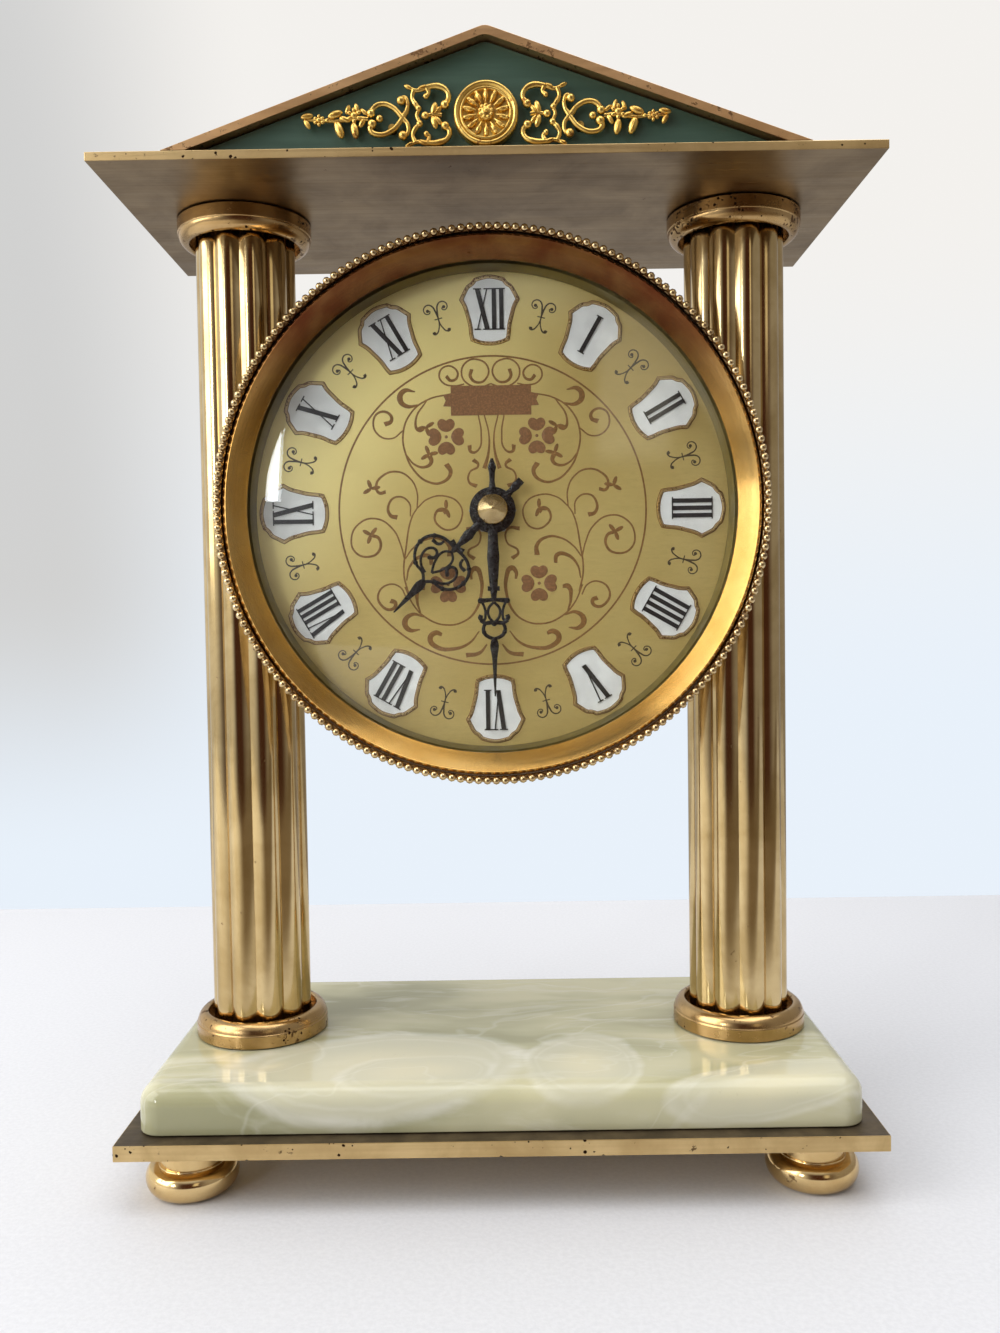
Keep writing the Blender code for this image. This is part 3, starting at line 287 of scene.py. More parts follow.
def make_metals():
    """Every brass of the clock, from polished to pitted, and the steel and copper of its works."""
    head_axis = ((0, 0, HEAD_HEIGHT), True)
    fine, upright, level = (1, 1, 1), (0.25, 0.25, 0.02), (0.02, 1, 1)
    rubbed, turned_lines = (0.15, 0.15, 0.02), (1, 0.01, 1)
    brass("polished_brass", (0.78, 0.57, 0.28), (0.62, 0.42, 0.18), (0.10, 0.18), (rubbed, 700.0, 0.12),
          (1100.0, 0.10), (320.0, 0.28), depth=0.003)
    brass("column_brass", (0.66, 0.50, 0.26), (0.48, 0.34, 0.15), (0.09, 0.15), (upright, 500.0, 0.05),
          (900.0, 0.05), (420.0, 0.22), depth=0.002)
    brass("roof_brass", (0.82, 0.52, 0.26), (0.60, 0.35, 0.16), (0.32, 0.46), (level, 1500.0, 0.4),
          (1100.0, 0.15), (600.0, 0.36), depth=0.006)
    # Partly painted shade: this brushed brass is darkened well below brass's own tone to stand for the shade
    # under the cornice.
    brass("brushed_brass", (0.36, 0.25, 0.125), (0.23, 0.155, 0.075), (0.26, 0.40), (level, 1500.0, 0.5),
          (1200.0, 0.06), (420.0, 0.20), depth=0.005)
    brass("edge_brass", (0.72, 0.53, 0.26), (0.52, 0.36, 0.16), (0.34, 0.50), (level, 1200.0, 0.5),
          (1000.0, 0.35), (620.0, 0.26), (0.035, 0.016, 0.008))
    brass("pitted_brass", (0.58, 0.39, 0.18), (0.43, 0.27, 0.11), (0.16, 0.28), (fine, 300.0, 0.2),
          (1100.0, 0.42), (560.0, 0.36), (0.04, 0.017, 0.008), depth=0.012)
    # The bezel's upper band carries a painted dark red-brown reflection.
    brass("bezel_brass", (0.72, 0.45, 0.15), (0.60, 0.34, 0.09), (0.10, 0.20), (turned_lines, 2600.0, 0.4),
          (900.0, 0.04), (420.0, 0.20), depth=0.003, axis=head_axis,
          painted_reflection=(160.0, 198.0, (0.085, 0.016, 0.007), 0.96))
    brass("case_brass", (0.66, 0.48, 0.24), (0.48, 0.34, 0.16), (0.24, 0.38), (turned_lines, 1500.0, 0.5),
          (900.0, 0.12), (380.0, 0.28), depth=0.005, axis=head_axis)
    brass("bead_brass", (0.78, 0.60, 0.33), (0.48, 0.34, 0.17), (0.14, 0.26), (fine, 500.0, 0.3),
          (900.0, 0.20), (700.0, 0.36), depth=0.004)
    brass("cast_gilt", (0.94, 0.67, 0.19), (0.70, 0.42, 0.10), (0.24, 0.42), (fine, 1400.0, 0.5),
          (1100.0, 0.12), (700.0, 0.36), (0.14, 0.05, 0.015), depth=0.03)
    brass("frame_gilt", (0.92, 0.77, 0.44), (0.76, 0.58, 0.28), (0.22, 0.34), (fine, 1400.0, 0.4),
          (1100.0, 0.05), (600.0, 0.24))
    brass("steel", (0.56, 0.56, 0.56), (0.42, 0.42, 0.43), (0.25, 0.42), (fine, 900.0, 0.4),
          (900.0, 0.05), (300.0, 0.20), depth=0.004)
    brass("copper", (0.72, 0.30, 0.14), (0.50, 0.18, 0.08), (0.25, 0.45), (level, 4000.0, 0.8), depth=0.03)


def make_onyx():
    """Pale green onyx: soft clouds, faint veins, and pale-rimmed ovals that run over the front edge."""
    finish = Finish("onyx", Subsurface_Weight=0.2, Subsurface_Scale=0.008, Coat_Weight=0.1,
                    Coat_Roughness=0.03, IOR=1.5, Specular_IOR_Level=0.35)
    finish.shader.inputs["Subsurface Radius"].default_value = (1.0, 0.95, 0.7)
    tree = finish.tree
    x, y, z = split(tree, finish.place)
    drop = sum_of(tree, "SUBTRACT", z, SLAB_TOP * MM)
    flat = add_node(tree, "CombineXYZ", {0: x, 1: sum_of(tree, "ADD", y, drop), 2: 0.0}).outputs[0]
    bend = add_node(tree, "TexNoise", {"Vector": flat, "Scale": 28.0, "Detail": 3.0}).outputs["Color"]
    bent = add_node(tree, "VectorMath", {0: bend, "Scale": 0.012}, operation="SCALE").outputs[0]
    centred = add_node(tree, "VectorMath", {0: bent, 1: (0.006, 0.006, 0.006)},
                       operation="SUBTRACT").outputs[0]
    place = add_node(tree, "VectorMath", {0: flat, 1: centred}, operation="ADD").outputs[0]
    deep = add_node(tree, "VectorMath", {0: finish.place, 1: centred}, operation="ADD").outputs[0]
    cloud = noise(tree, moved(tree, deep, (1, 2.6, 2.0), turn=(0, 0, 0.12)), 16.0, 3.0, 0.5, 0.3)
    tone = blend(tree, ramp(tree, cloud, 0.36, 0.66), (0.36, 0.35, 0.205, 1), (0.60, 0.57, 0.37, 1))
    wisps = noise(tree, moved(tree, deep, (1, 5.0, 3.0), turn=(0, 0, -0.1)), 34.0, 4.0, 0.6, 0.8)
    tone = blend(tree, ramp(tree, wisps, 0.5, 0.72, 0.0, 0.45), tone, (0.70, 0.68, 0.56, 1))
    for oval_x, oval_y, wide, tall, turn, strength in ONYX_OVALS:
        settled = moved(tree, place, shift=(-oval_x * MM, -oval_y * MM, 0))
        settled = moved(tree, settled, turn=(0, 0, -math.radians(turn)))
        at = moved(tree, settled, (1 / (wide * MM), 1 / (tall * MM), 0))
        from_middle = add_node(tree, "VectorMath", {0: at}, operation="LENGTH").outputs["Value"]
        inside = ramp(tree, from_middle, 1.0, 0.86, 0.0, strength)
        cream = blend(tree, ramp(tree, from_middle, 0.1, 0.8), (0.74, 0.69, 0.49, 1), (0.62, 0.60, 0.45, 1))
        tone = blend(tree, inside, tone, cream)
        for reach, width, white in ((0.97, 0.12, 0.5), (0.80, 0.05, 0.2)):
            gap = sum_of(tree, "ABSOLUTE", sum_of(tree, "SUBTRACT", from_middle, reach))
            patchy = ramp(tree, wisps, 0.3, 0.6, 0.35, 1.0)
            rim = sum_of(tree, "MULTIPLY", ramp(tree, gap, width, 0.0), patchy)
            tone = blend(tree, sum_of(tree, "MULTIPLY", rim, white * strength), tone, (0.83, 0.82, 0.74, 1))
    vein = noise(tree, moved(tree, deep, (1, 2.2, 1.6), turn=(0.2, 0.15, 0.35)), 12.0, 3.0, 0.55, 0.9)
    thin = ramp(tree, sum_of(tree, "ABSOLUTE", sum_of(tree, "SUBTRACT", vein, 0.5)), 0.012, 0.0)
    tone = blend(tree, sum_of(tree, "MULTIPLY", thin, 0.15), tone, (0.84, 0.83, 0.74, 1))
    dust = noise(tree, finish.place, 900.0, 3.0)
    tone = blend(tree, ramp(tree, dust, 0.62, 0.8, 0.0, 0.12), tone, (0.30, 0.28, 0.18, 1))
    finish.wire("Base Color", tone)
    finish.bump(sum_of(tree, "ADD", sum_of(tree, "MULTIPLY", cloud, 0.3), thin), 0.015)
    finish.wire("Roughness", ramp(tree, cloud, 0.3, 0.8, 0.07, 0.16))


def make_dull_brass():
    """Brass gone dark and dull, as on a plate's hidden faces."""
    dull = Finish("dark_brass", Metallic=0.6)
    tree = dull.tree
    cloud = noise(tree, dull.place, 120.0, 5.0, 0.6)
    streak = dull.grain((0.03, 1, 1), 1200.0)
    tone = blend(tree, ramp(tree, cloud, 0.35, 0.7), (0.075, 0.055, 0.032, 1), (0.15, 0.11, 0.062, 1))
    dull.wire("Base Color", tone)
    dull.wire("Roughness", ramp(tree, streak, 0.3, 0.7, 0.4, 0.6))
    dull.bump(streak, 0.01)


def make_paints():
    green = Finish("green_paint", Coat_Weight=0.15, Coat_Roughness=0.3)
    tree = green.tree
    streak = green.grain((0.08, 1, 1), 500.0)
    green.wire("Base Color", blend(tree, ramp(tree, streak, 0.3, 0.75), (0.036, 0.080, 0.056, 1),
                                   (0.055, 0.115, 0.082, 1)))
    dust = green.specks(1500.0, 0.2)
    green.wire("Roughness", ramp(tree, streak, 0.2, 0.8, 0.38, 0.55))
    green.bump(sum_of(tree, "ADD", streak, dust), 0.006)

    black = Finish("black_paint", Specular_IOR_Level=0.4)
    tree = black.tree
    lumps = noise(tree, black.place, 1500.0, 4.0, 0.6)
    black.wire("Base Color", blend(tree, ramp(tree, lumps, 0.45, 0.7), (0.004, 0.004, 0.005, 1),
                                   (0.014, 0.011, 0.014, 1)))
    black.wire("Roughness", ramp(tree, lumps, 0.3, 0.7, 0.2, 0.42))
    black.bump(lumps, 0.25)

    for name, colour, rough in (("numeral_black", (0.012, 0.011, 0.012), 0.4),
                                ("scroll_print", (0.18, 0.082, 0.018), 0.5),
                                ("motif_print", (0.045, 0.026, 0.008), 0.5),
                                ("plaque_print", (0.19, 0.085, 0.030), 0.5)):
        ink = Finish(name)
        tree = ink.tree
        mottle = noise(tree, ink.place, 2200.0, 4.0, 0.7)
        lighter = tuple(min(1.0, c * 1.7 + 0.01) for c in colour)
        ink.wire("Base Color", blend(tree, ramp(tree, mottle, 0.4, 0.7), (*colour, 1), (*lighter, 1)))
        ink.wire("Roughness", ramp(tree, mottle, 0.3, 0.7, rough - 0.08, rough + 0.1))

    enamel = Finish("enamel", Coat_Weight=0.3, Coat_Roughness=0.2)
    tree = enamel.tree
    cloud = noise(tree, enamel.place, 260.0, 4.0)
    enamel.wire("Base Color", blend(tree, ramp(tree, cloud, 0.35, 0.7), (0.80, 0.81, 0.82, 1),
                                    (0.90, 0.91, 0.92, 1)))
    enamel.wire("Roughness", ramp(tree, cloud, 0.3, 0.7, 0.3, 0.42))
    enamel.bump(cloud, 0.01)

    dial = Finish("dial_gold", Metallic=0.55, Coat_Weight=0.1, Coat_Roughness=0.3)
    tree = dial.tree
    satin = dial.grain((0.25, 1, 1), 2400.0)
    cloud = noise(tree, dial.place, 30.0, 3.0)
    tone = blend(tree, ramp(tree, cloud, 0.35, 0.65), (0.72, 0.56, 0.215, 1), (0.64, 0.48, 0.17, 1))
    tone = blend(tree, ramp(tree, satin, 0.4, 0.75, 0.0, 0.35), tone, (0.50, 0.36, 0.12, 1))
    # A painted highlight: the dial's colour brightens towards its upper left, where the window light falls.
    x, _, z = split(tree, dial.place)
    corner = ramp(tree, sum_of(tree, "SUBTRACT", z, x), (HEAD_HEIGHT + 5) * MM, (HEAD_HEIGHT + 60) * MM)
    dial.wire("Base Color", blend(tree, corner, tone, (1.0, 0.84, 0.36, 1)))
    dial.wire("Roughness", ramp(tree, satin, 0.3, 0.7, 0.36, 0.5))
    dial.bump(satin, 0.006)

    lip = Finish("dark_lip", Metallic=0.7)
    tree = lip.tree
    cloud = noise(tree, lip.place, 400.0, 3.0)
    lip.wire("Base Color", blend(tree, cloud, (0.14, 0.115, 0.04, 1), (0.22, 0.175, 0.07, 1)))
    lip.wire("Roughness", ramp(tree, cloud, 0.3, 0.7, 0.3, 0.45))


def make_plastics():
    for name, colour, rough in (("black_plastic", (0.022, 0.022, 0.024), 0.42),
                                ("white_plastic", (0.74, 0.74, 0.70), 0.38),
                                ("board_green", (0.05, 0.20, 0.10), 0.45),
                                ("battery_wrap", (0.06, 0.10, 0.30), 0.3)):
        finish = Finish(name)
        tree = finish.tree
        pebble = noise(tree, finish.place, 1600.0, 3.0, 0.6)
        cloud = noise(tree, finish.place, 60.0, 3.0)
        darker = tuple(c * 0.8 for c in colour)
        finish.wire("Base Color", blend(tree, ramp(tree, cloud, 0.3, 0.7), (*colour, 1), (*darker, 1)))
        finish.wire("Roughness", ramp(tree, pebble, 0.3, 0.7, rough - 0.05, rough + 0.1))
        finish.bump(pebble, 0.02)


def make_glass():
    """Clear glass that lets lamps through to the dial."""
    glass = Finish("glass", Transmission_Weight=1.0, IOR=1.45, Roughness=0.0)
    tree = glass.tree
    glass.shader.inputs["Base Color"].default_value = (0.97, 0.99, 0.98, 1)
    smear = noise(tree, glass.place, 55.0, 4.0, 0.6, 1.0)
    glass.wire("Roughness", ramp(tree, smear, 0.55, 0.85, 0.0, 0.02))
    clear = add_node(tree, "BsdfTransparent", {"Color": (0.97, 0.98, 0.97, 1)})
    rays = add_node(tree, "LightPath")
    mixed = add_node(tree, "MixShader", {0: rays.outputs["Is Shadow Ray"], 1: glass.shader.outputs[0],
                                         2: clear.outputs[0]})
    tree.links.new(mixed.outputs[0], tree.nodes["Material Output"].inputs["Surface"])


# Each oval's middle x and y, half width, half height, turn and strength
ONYX_OVALS = ((-28.0, -25.5, 35.0, 19.0, 8.0, 0.85), (-19.0, -29.0, 18.0, 9.0, 6.0, 0.5),
              (19.5, -26.0, 12.5, 17.5, -12.0, 0.7), (61.0, -37.0, 25.0, 9.0, 10.0, 0.75))
make_metals()
make_dull_brass()
make_onyx()
make_paints()
make_plastics()
make_glass()


# ---------------------------------------------------------------- shaping

def turned(profile, steps=96, closed=False):
    """Spin an outline of (radius, height) points about the upright axis."""
    shape = bmesh.new()
    knots = [shape.verts.new((radius, 0, height)) for radius, height in profile]
    pairs = list(zip(knots, knots[1:]))
    if closed:
        pairs.append((knots[-1], knots[0]))
    edges = [shape.edges.new(pair) for pair in pairs]
    bmesh.ops.spin(shape, geom=knots + edges, cent=(0, 0, 0), axis=(0, 0, 1),
                   angle=2 * math.pi, steps=steps, use_merge=True)
    bmesh.ops.remove_doubles(shape, verts=shape.verts, dist=0.001)
    return shape


def rounded(shape, edges, width, segments, held_back=False):
    bmesh.ops.bevel(shape, geom=edges, offset=width, segments=segments, profile=0.5, affect="EDGES",
                    material=-1, clamp_overlap=held_back)


def eased(shape, width, segments=2, sharper_than=28):
    """Round the sharp edges a little, as a polishing wheel does."""
    bmesh.ops.remove_doubles(shape, verts=shape.verts, dist=0.001)
    limit = math.radians(sharper_than)
    sharp = [edge for edge in shape.edges if edge.is_manifold and edge.calc_face_angle(0) > limit]
    rounded(shape, sharp, width, segments, held_back=True)
    return shape


def block(size, at=(0, 0, 0)):
    shape = bmesh.new()
    bmesh.ops.create_cube(shape, size=1.0)
    bmesh.ops.scale(shape, vec=size, verts=shape.verts)
    bmesh.ops.translate(shape, vec=at, verts=shape.verts)
    return shape


def peg(radius, length, steps=32, at=(0, 0, 0)):
    """A round bar along the upright axis, its middle at a point."""
    shape = bmesh.new()
    bmesh.ops.create_cone(shape, cap_ends=True, segments=steps, radius1=radius, radius2=radius, depth=length)
    bmesh.ops.translate(shape, vec=at, verts=shape.verts)
    return shape


def add_copies(shape, part, places=(Matrix(),), finish=None):
    """Add a shape to another at each of several places, and use it up."""
    mesh = bpy.data.meshes.new("copied")
    part.to_mesh(mesh)
    part.free()
    for place in places:
        copy = mesh.copy()
        copy.transform(place)
        first = len(shape.faces)
        shape.from_mesh(copy)
        bpy.data.meshes.remove(copy)
        if finish is not None:
            shape.faces.ensure_lookup_table()
            for face in shape.faces[first:]:
                face.material_index = finish
    bpy.data.meshes.remove(mesh)
    return shape


def along(values, part):
    """Read a value a given part of the way along a short list."""
    if len(values) == 1:
        return values[0]
    spot = part * (len(values) - 1)
    low = min(int(spot), len(values) - 2)
    return values[low] + (values[low + 1] - values[low]) * (spot - low)


def drawn_curve(paths, **settings):
    """Draw smooth curves through points; a path that ends where it began is closed."""
    curve = bpy.data.curves.new("drawn", "CURVE")
    for name, value in settings.items():
        setattr(curve, name, value)
    for points, widths in paths:
        closed = points[0] == points[-1]
        points = points[:-1] if closed else points
        line = curve.splines.new("BEZIER")
        line.use_cyclic_u = closed
        line.bezier_points.add(len(points) - 1)
        for step, (knot, point) in enumerate(zip(line.bezier_points, points)):
            corner = point[-1] == "corner"
            spot = point[:-1] if corner else point
            knot.co = (*spot, 0.0)[:3]
            knot.handle_left_type = knot.handle_right_type = "VECTOR" if corner else "AUTO"
            knot.radius = along(widths, step / (len(points) - 1))
    holder = bpy.data.objects.new("drawn", curve)
    mesh = bpy.data.meshes.new_from_object(holder)
    bpy.data.objects.remove(holder)
    bpy.data.curves.remove(curve)
    shape = bmesh.new()
    shape.from_mesh(mesh)
    bpy.data.meshes.remove(mesh)
    return shape


def wires(paths, flatten=1.0, sides=2, smoothness=6):
    """Round wires whose radius changes along them, flattened by a factor."""
    shape = drawn_curve(paths, dimensions="3D", bevel_depth=1.0, bevel_resolution=sides,
                        resolution_u=smoothness, use_fill_caps=True)
    bmesh.ops.scale(shape, vec=(1, 1, flatten), verts=shape.verts)
    return shape


def cut_sheet(outline, thickness, edge=0.05, smoothness=6):
    """A flat plate cut to a smooth outline, with slightly rounded edges, its back at height 0."""
    shape = drawn_curve([(outline + outline[:1], (1.0,))], dimensions="2D", fill_mode="BOTH",
                        extrude=thickness / 2 - edge, bevel_depth=edge, offset=-edge, bevel_resolution=1,
                        resolution_u=smoothness)
    bmesh.ops.translate(shape, vec=(0, 0, thickness / 2), verts=shape.verts)
    return shape


def raised(shape, faces, height):
    """Pull faces straight up into a solid."""
    pulled = bmesh.ops.extrude_face_region(shape, geom=faces, use_keep_orig=True)["geom"]
    bmesh.ops.translate(shape, vec=(0, 0, height),
                        verts=[part for part in pulled if isinstance(part, bmesh.types.BMVert)])


def outline_plate(outline, bottom, top, smoothness=6):
    """A thin plate of one face on top, which can be inset."""
    shape = drawn_curve([(outline + outline[:1], (1.0,))], dimensions="2D", fill_mode="NONE",
                        resolution_u=smoothness)
    bmesh.ops.remove_doubles(shape, verts=shape.verts, dist=0.1)
    bmesh.ops.translate(shape, vec=(0, 0, bottom), verts=shape.verts)
    base = bmesh.ops.contextual_create(shape, geom=shape.edges[:])["faces"]
    raised(shape, base, top - bottom)
    bmesh.ops.recalc_face_normals(shape, faces=shape.faces)
    lid = max(shape.faces, key=lambda face: face.calc_center_median().z)
    return shape, lid


def ball(radius, at, squash=(1, 1, 1), turn=0.0, detail=(12, 8)):
    """A ball, or a leaf or petal when it is squashed and turned in its plane."""
    shape = bmesh.new()
    bmesh.ops.create_uvsphere(shape, u_segments=detail[0], v_segments=detail[1], radius=radius)
    place = Matrix.Translation((*at, 0.0)[:3]) @ Matrix.Rotation(math.radians(turn), 4, "Z")
    bmesh.ops.transform(shape, matrix=place @ Matrix.Diagonal((*squash, 1)), verts=shape.verts)
    return shape


def both_sides(path):
    """A stroke and its mirror image across the upright middle line."""
    points, widths = path
    other = [(-point[0], *point[1:]) for point in points]
    return [(points, widths), (other, widths)]


def from_cad(node):
    """A node's own shape in millimetres, with its loose triangles joined up."""
    source = frame["nodes"][node]
    shape = bmesh.new()
    shape.from_mesh(source.data)
    shape.transform(Matrix.Scale(1 / MM, 4) @ source.matrix_world)
    bmesh.ops.remove_doubles(shape, verts=shape.verts, dist=0.002)
    bmesh.ops.dissolve_limit(shape, angle_limit=math.radians(1), verts=shape.verts, edges=shape.edges,
                             use_dissolve_boundaries=False)
    return shape


def finished(name, shape, place, finishes, node=None, body="case", sharp=40):
    """Turn a shape into a piece of the clock, in its place, with its finishes, on its body."""
    bmesh.ops.remove_doubles(shape, verts=shape.verts, dist=0.0005)
    bmesh.ops.recalc_face_normals(shape, faces=shape.faces)
    shape.transform(Matrix.Scale(MM, 4) @ place)
    mesh = bpy.data.meshes.new(name)
    shape.to_mesh(mesh)
    shape.free()
    for finish in finishes:
        mesh.materials.append(FINISHES[finish].material)
    mesh.shade_smooth()
    mesh.set_sharp_from_angle(angle=math.radians(sharp))
    made = bpy.data.objects.new(name, mesh)
    bpy.context.scene.collection.objects.link(made)
    even = made.modifiers.new("even_shading", "WEIGHTED_NORMAL")
    even.keep_sharp = True
    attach(made, body)
    if node:
        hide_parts(node)
    return made


# ---------------------------------------------------------------- base

def make_feet():
    """Four flattened buns on straight necks, each with its stud."""
    bun = [(7.3 + 3.1 * math.cos(math.radians(a)), 3.7 + (3.2 if a > 0 else 3.7) * math.sin(math.radians(a)))
           for a in range(60, -80, -10)]
    neck = [(0, 20.2), (2.5, 20.2), (2.5, 12.0), (7.1, 12.0), (7.3, 11.8), (7.3, 6.6), (7.5, 6.3), (8.2, 6.3)]
    profile = neck + bun[1:] + [(7.2, 0.05), (6.6, 0), (0, 0)]
    for side, sign in SIDES.items():
        for end, depth in (("front", -27.8), ("rear", 27.8)):
            name = "foot_%s_%s" % (end, side)
            finished(name + "_turned", turned(profile, 64), standing(sign * 70.6, depth),
                     ["polished_brass"], name, sharp=50)


def make_slab():
    """The onyx slab: round corners, a soft top edge and a crisp lower one."""
    shape = block(SLAB_SIZE)
    upright = [edge for edge in shape.edges if abs(edge.verts[0].co.z - edge.verts[1].co.z) > 1]
    rounded(shape, upright, 5.5, 8)
    top = [edge for edge in shape.edges if min(vert.co.z for vert in edge.verts) > 0]
    rounded(shape, top, 4.2, 8)
    bottom = [edge for edge in shape.edges if max(vert.co.z for vert in edge.verts) < -5]
    rounded(shape, bottom, 0.3, 2)
    finished("onyx_slab", shape, standing(z=SLAB_MIDDLE), ["onyx"], "onyx_base", sharp=60)


def make_base_plate():
    """A brass plate with a dull dark top, bright only on its cut edges."""
    shape = eased(block(PLATE_SIZE), 0.18)
    for face in shape.faces:
        face.material_index = 1 if face.normal.z > 0.9 and face.calc_area() > 100 else 0
    finished("base_plate_rolled", shape, standing(z=PLATE_MIDDLE), ["edge_brass", "dark_brass"], "base_plate")


def make_columns():
    """Two polished tubes rolled into ten round ribs that meet in narrow valleys."""
    ribs, crest, depth, bore, bottom, top = 10, 12.0, 1.3, 9.3, 29.0, 223.6
    turn = {"left": -13.5, "right": 8.5}
    for side, sign in SIDES.items():
        shape = bmesh.new()
        steps = 20 * ribs
        bmesh.ops.create_circle(shape, segments=steps, radius=1.0)
        for vert in shape.verts:
            angle = math.atan2(vert.co.y, vert.co.x)
            radius = crest - depth * (1 - abs(math.cos(ribs * angle / 2)))
            angle += math.radians(turn[side] - 90)
            vert.co = (radius * math.cos(angle), radius * math.sin(angle), 0)
        bmesh.ops.create_circle(shape, segments=steps, radius=bore)
        ring = bmesh.ops.bridge_loops(shape, edges=shape.edges)["faces"]
        raised(shape, ring, top - bottom)
        finished("column_%s_ribbed" % side, shape, standing(sign * COLUMN_X, 0, bottom),
                 ["column_brass"], "column_" + side, sharp=60)


def make_collars():
    """The turned collars: one under each column and the same one upside down on its top."""
    outline = [(14.1, 5.6), (14.7, 5.35), (15.2, 4.9), (15.6, 4.3), (15.85, 3.6), (15.9, 3.1), (16.1, 2.9),
               (16.1, 0), (2.8, 0), (2.8, 2.0), (13.2, 2.0), (13.2, 5.2), (13.5, 5.6)]
    for side, sign in SIDES.items():
        for name, flip, height in (("base_ring_", Matrix(), 26.7), ("capital_ring_", UPSIDE_DOWN, 225.9)):
            shape = eased(turned(outline, 96, closed=True), 0.12)
            finished(name + side + "_turned", shape, standing(sign * COLUMN_X, 0, height) @ flip,
                     ["pitted_brass"], name + side, sharp=50)


# ---------------------------------------------------------------- cornice and pediment

def make_roof():
    """The cornice, whose cut edges are brighter than its faces with their painted shade, and the roof with
    its two panels.
    """
    for node, finish, width in (("cornice_plate", "brushed_brass", 0.15),
                                ("pediment_roof", "roof_brass", 0.2),
                                ("tympanum_panel", "green_paint", 0.05),
                                ("pediment_back_panel", "brushed_brass", 0.05)):
        shape = eased(from_cad(node), width)
        for face in shape.faces:
            face.material_index = 1 if node == "cornice_plate" and abs(face.normal.z) < 0.5 else 0
        edges = ["edge_brass"] if node == "cornice_plate" else []
        finished(node + "_worked", shape, Matrix(), [finish] + edges, node)


def make_rosette(shape):
    """A dished disc with a double rim, fourteen petals and a beaded boss."""
    profile = [(0, 0), (6.6, 0), (6.9, 0.4), (6.9, 1.5), (6.7, 2.1), (6.3, 2.35), (5.95, 2.2), (5.75, 1.85),
               (5.6, 1.8), (5.45, 2.05), (5.2, 2.1), (4.95, 1.9), (4.8, 1.5), (3.0, 1.3), (0, 1.3)]
    add_copies(shape, turned(profile, 72))
    places = all_round(14)
    add_copies(shape, ball(1.0, (0, 3.7, 1.55), (0.62, 1.15, 0.75)), places)
    add_copies(shape, ball(0.42, (0, 4.55, 2.0), (1.0, 0.9, 0.9), detail=(8, 6)), places)
    rib = [([(0, 2.2, 2.0), (0, 3.6, 2.35), (0, 4.6, 2.3)], (0.16, 0.2, 0.1))]
    add_copies(shape, wires(rib, sides=1), places)
    add_copies(shape, ball(1.75, (0, 0, 1.7), (1, 1, 0.72), detail=(20, 12)))
    add_copies(shape, ball(0.42, (0, 1.25, 2.55), detail=(8, 6)), all_round(9))
    add_copies(shape, ball(0.5, (0, 0, 2.95), detail=(8, 6)))


WING_WIRES = [
    ([(8.7, 2.2), (7.9, 3.4), (8.2, 4.9), (9.9, 6.0), (12.3, 5.9), (14.6, 5.2), (16.3, 5.9)],
     (0.7, 0.5, 0.75, 0.5, 0.35)),
    ([(8.7, -2.3), (7.8, -3.4), (8.2, -4.8), (9.9, -5.7), (12.3, -5.8), (14.6, -5.5), (16.2, -6.2)],
     (0.7, 0.5, 0.75, 0.5, 0.35)),
    ([(12.4, 5.6), (12.1, 4.6), (12.7, 4.0)], (0.6, 0.45, 0.6)),
    ([(12.4, -5.5), (12.1, -4.5), (12.7, -4.0)], (0.6, 0.45, 0.6)),
    ([(15.2, 5.3), (15.6, 3.8), (15.0, 2.4), (14.3, 1.4), (14.7, 0.0), (14.2, -1.7), (15.0, -2.7),
      (15.6, -4.0), (15.1, -5.6)], (0.55, 0.45, 0.6, 0.45, 0.4, 0.45, 0.6, 0.45, 0.55)),
    ([(18.0, 3.2), (17.3, 3.9), (16.7, 3.0), (16.8, 1.0), (17.6, -0.2), (16.6, -2.0), (16.9, -4.0),
      (17.7, -4.3)], (0.55, 0.4, 0.45, 0.5, 0.5, 0.5, 0.45, 0.55)),
    ([(24.3, 0.5), (23.9, 1.6), (22.2, 2.5), (19.7, 1.7), (17.8, -0.4), (16.9, -1.4)],
     (0.75, 0.6, 0.6, 0.6, 0.5)),
    ([(24.2, -1.6), (24.6, -2.9), (22.8, -3.9), (19.9, -3.0), (17.9, -0.8), (16.8, 0.8)],
     (0.75, 0.6, 0.6, 0.6, 0.5)),
    ([(25.0, -0.6), (28.0, -0.4), (31.0, -0.9), (34.5, -0.8), (38.0, -0.6)], (0.5, 0.55, 0.4, 0.35, 0.3)),
    ([(9.4, 0.0), (11.0, 0.2), (13.0, -0.1)], (0.5, 0.45, 0.4)),
]
WING_BALLS = [(8.7, 2.1, 0.95), (8.7, -2.3, 0.95), (12.9, -0.1, 0.85), (12.7, 3.9, 0.6), (12.7, -3.9, 0.6),
              (14.3, 1.4, 0.7), (14.1, -1.8, 0.75), (18.0, 3.1, 0.95), (17.7, -4.2, 1.0), (24.4, 0.5, 0.95),
              (24.2, -1.7, 1.0), (22.6, -0.6, 0.8), (28.0, 0.1, 0.85), (33.7, -0.8, 0.5), (35.5, -0.7, 0.55)]
WING_LEAVES = [(11.0, 1.3, 1.5, 105), (11.0, -1.5, 1.5, -105), (10.2, 0.9, 1.2, 130), (10.2, -1.1, 1.2, -130),
               (16.4, 5.9, 1.0, 25), (16.3, -6.1, 1.0, -25), (13.4, 5.7, 1.2, 160), (13.4, -5.7, 1.2, 200),
               (32.0, 0.4, 1.7, 160), (31.2, -2.8, 2.0, 70), (27.9, -3.0, 1.8, 80), (29.3, 1.4, 1.1, 110),
               (27.4, 1.7, 1.1, 75), (25.9, 0.9, 1.0, 40), (26.3, -1.4, 1.2, 120), (38.0, 0.1, 1.4, 170),
               (38.0, -1.5, 1.2, 60), (30.0, -0.6, 1.3, 20)]


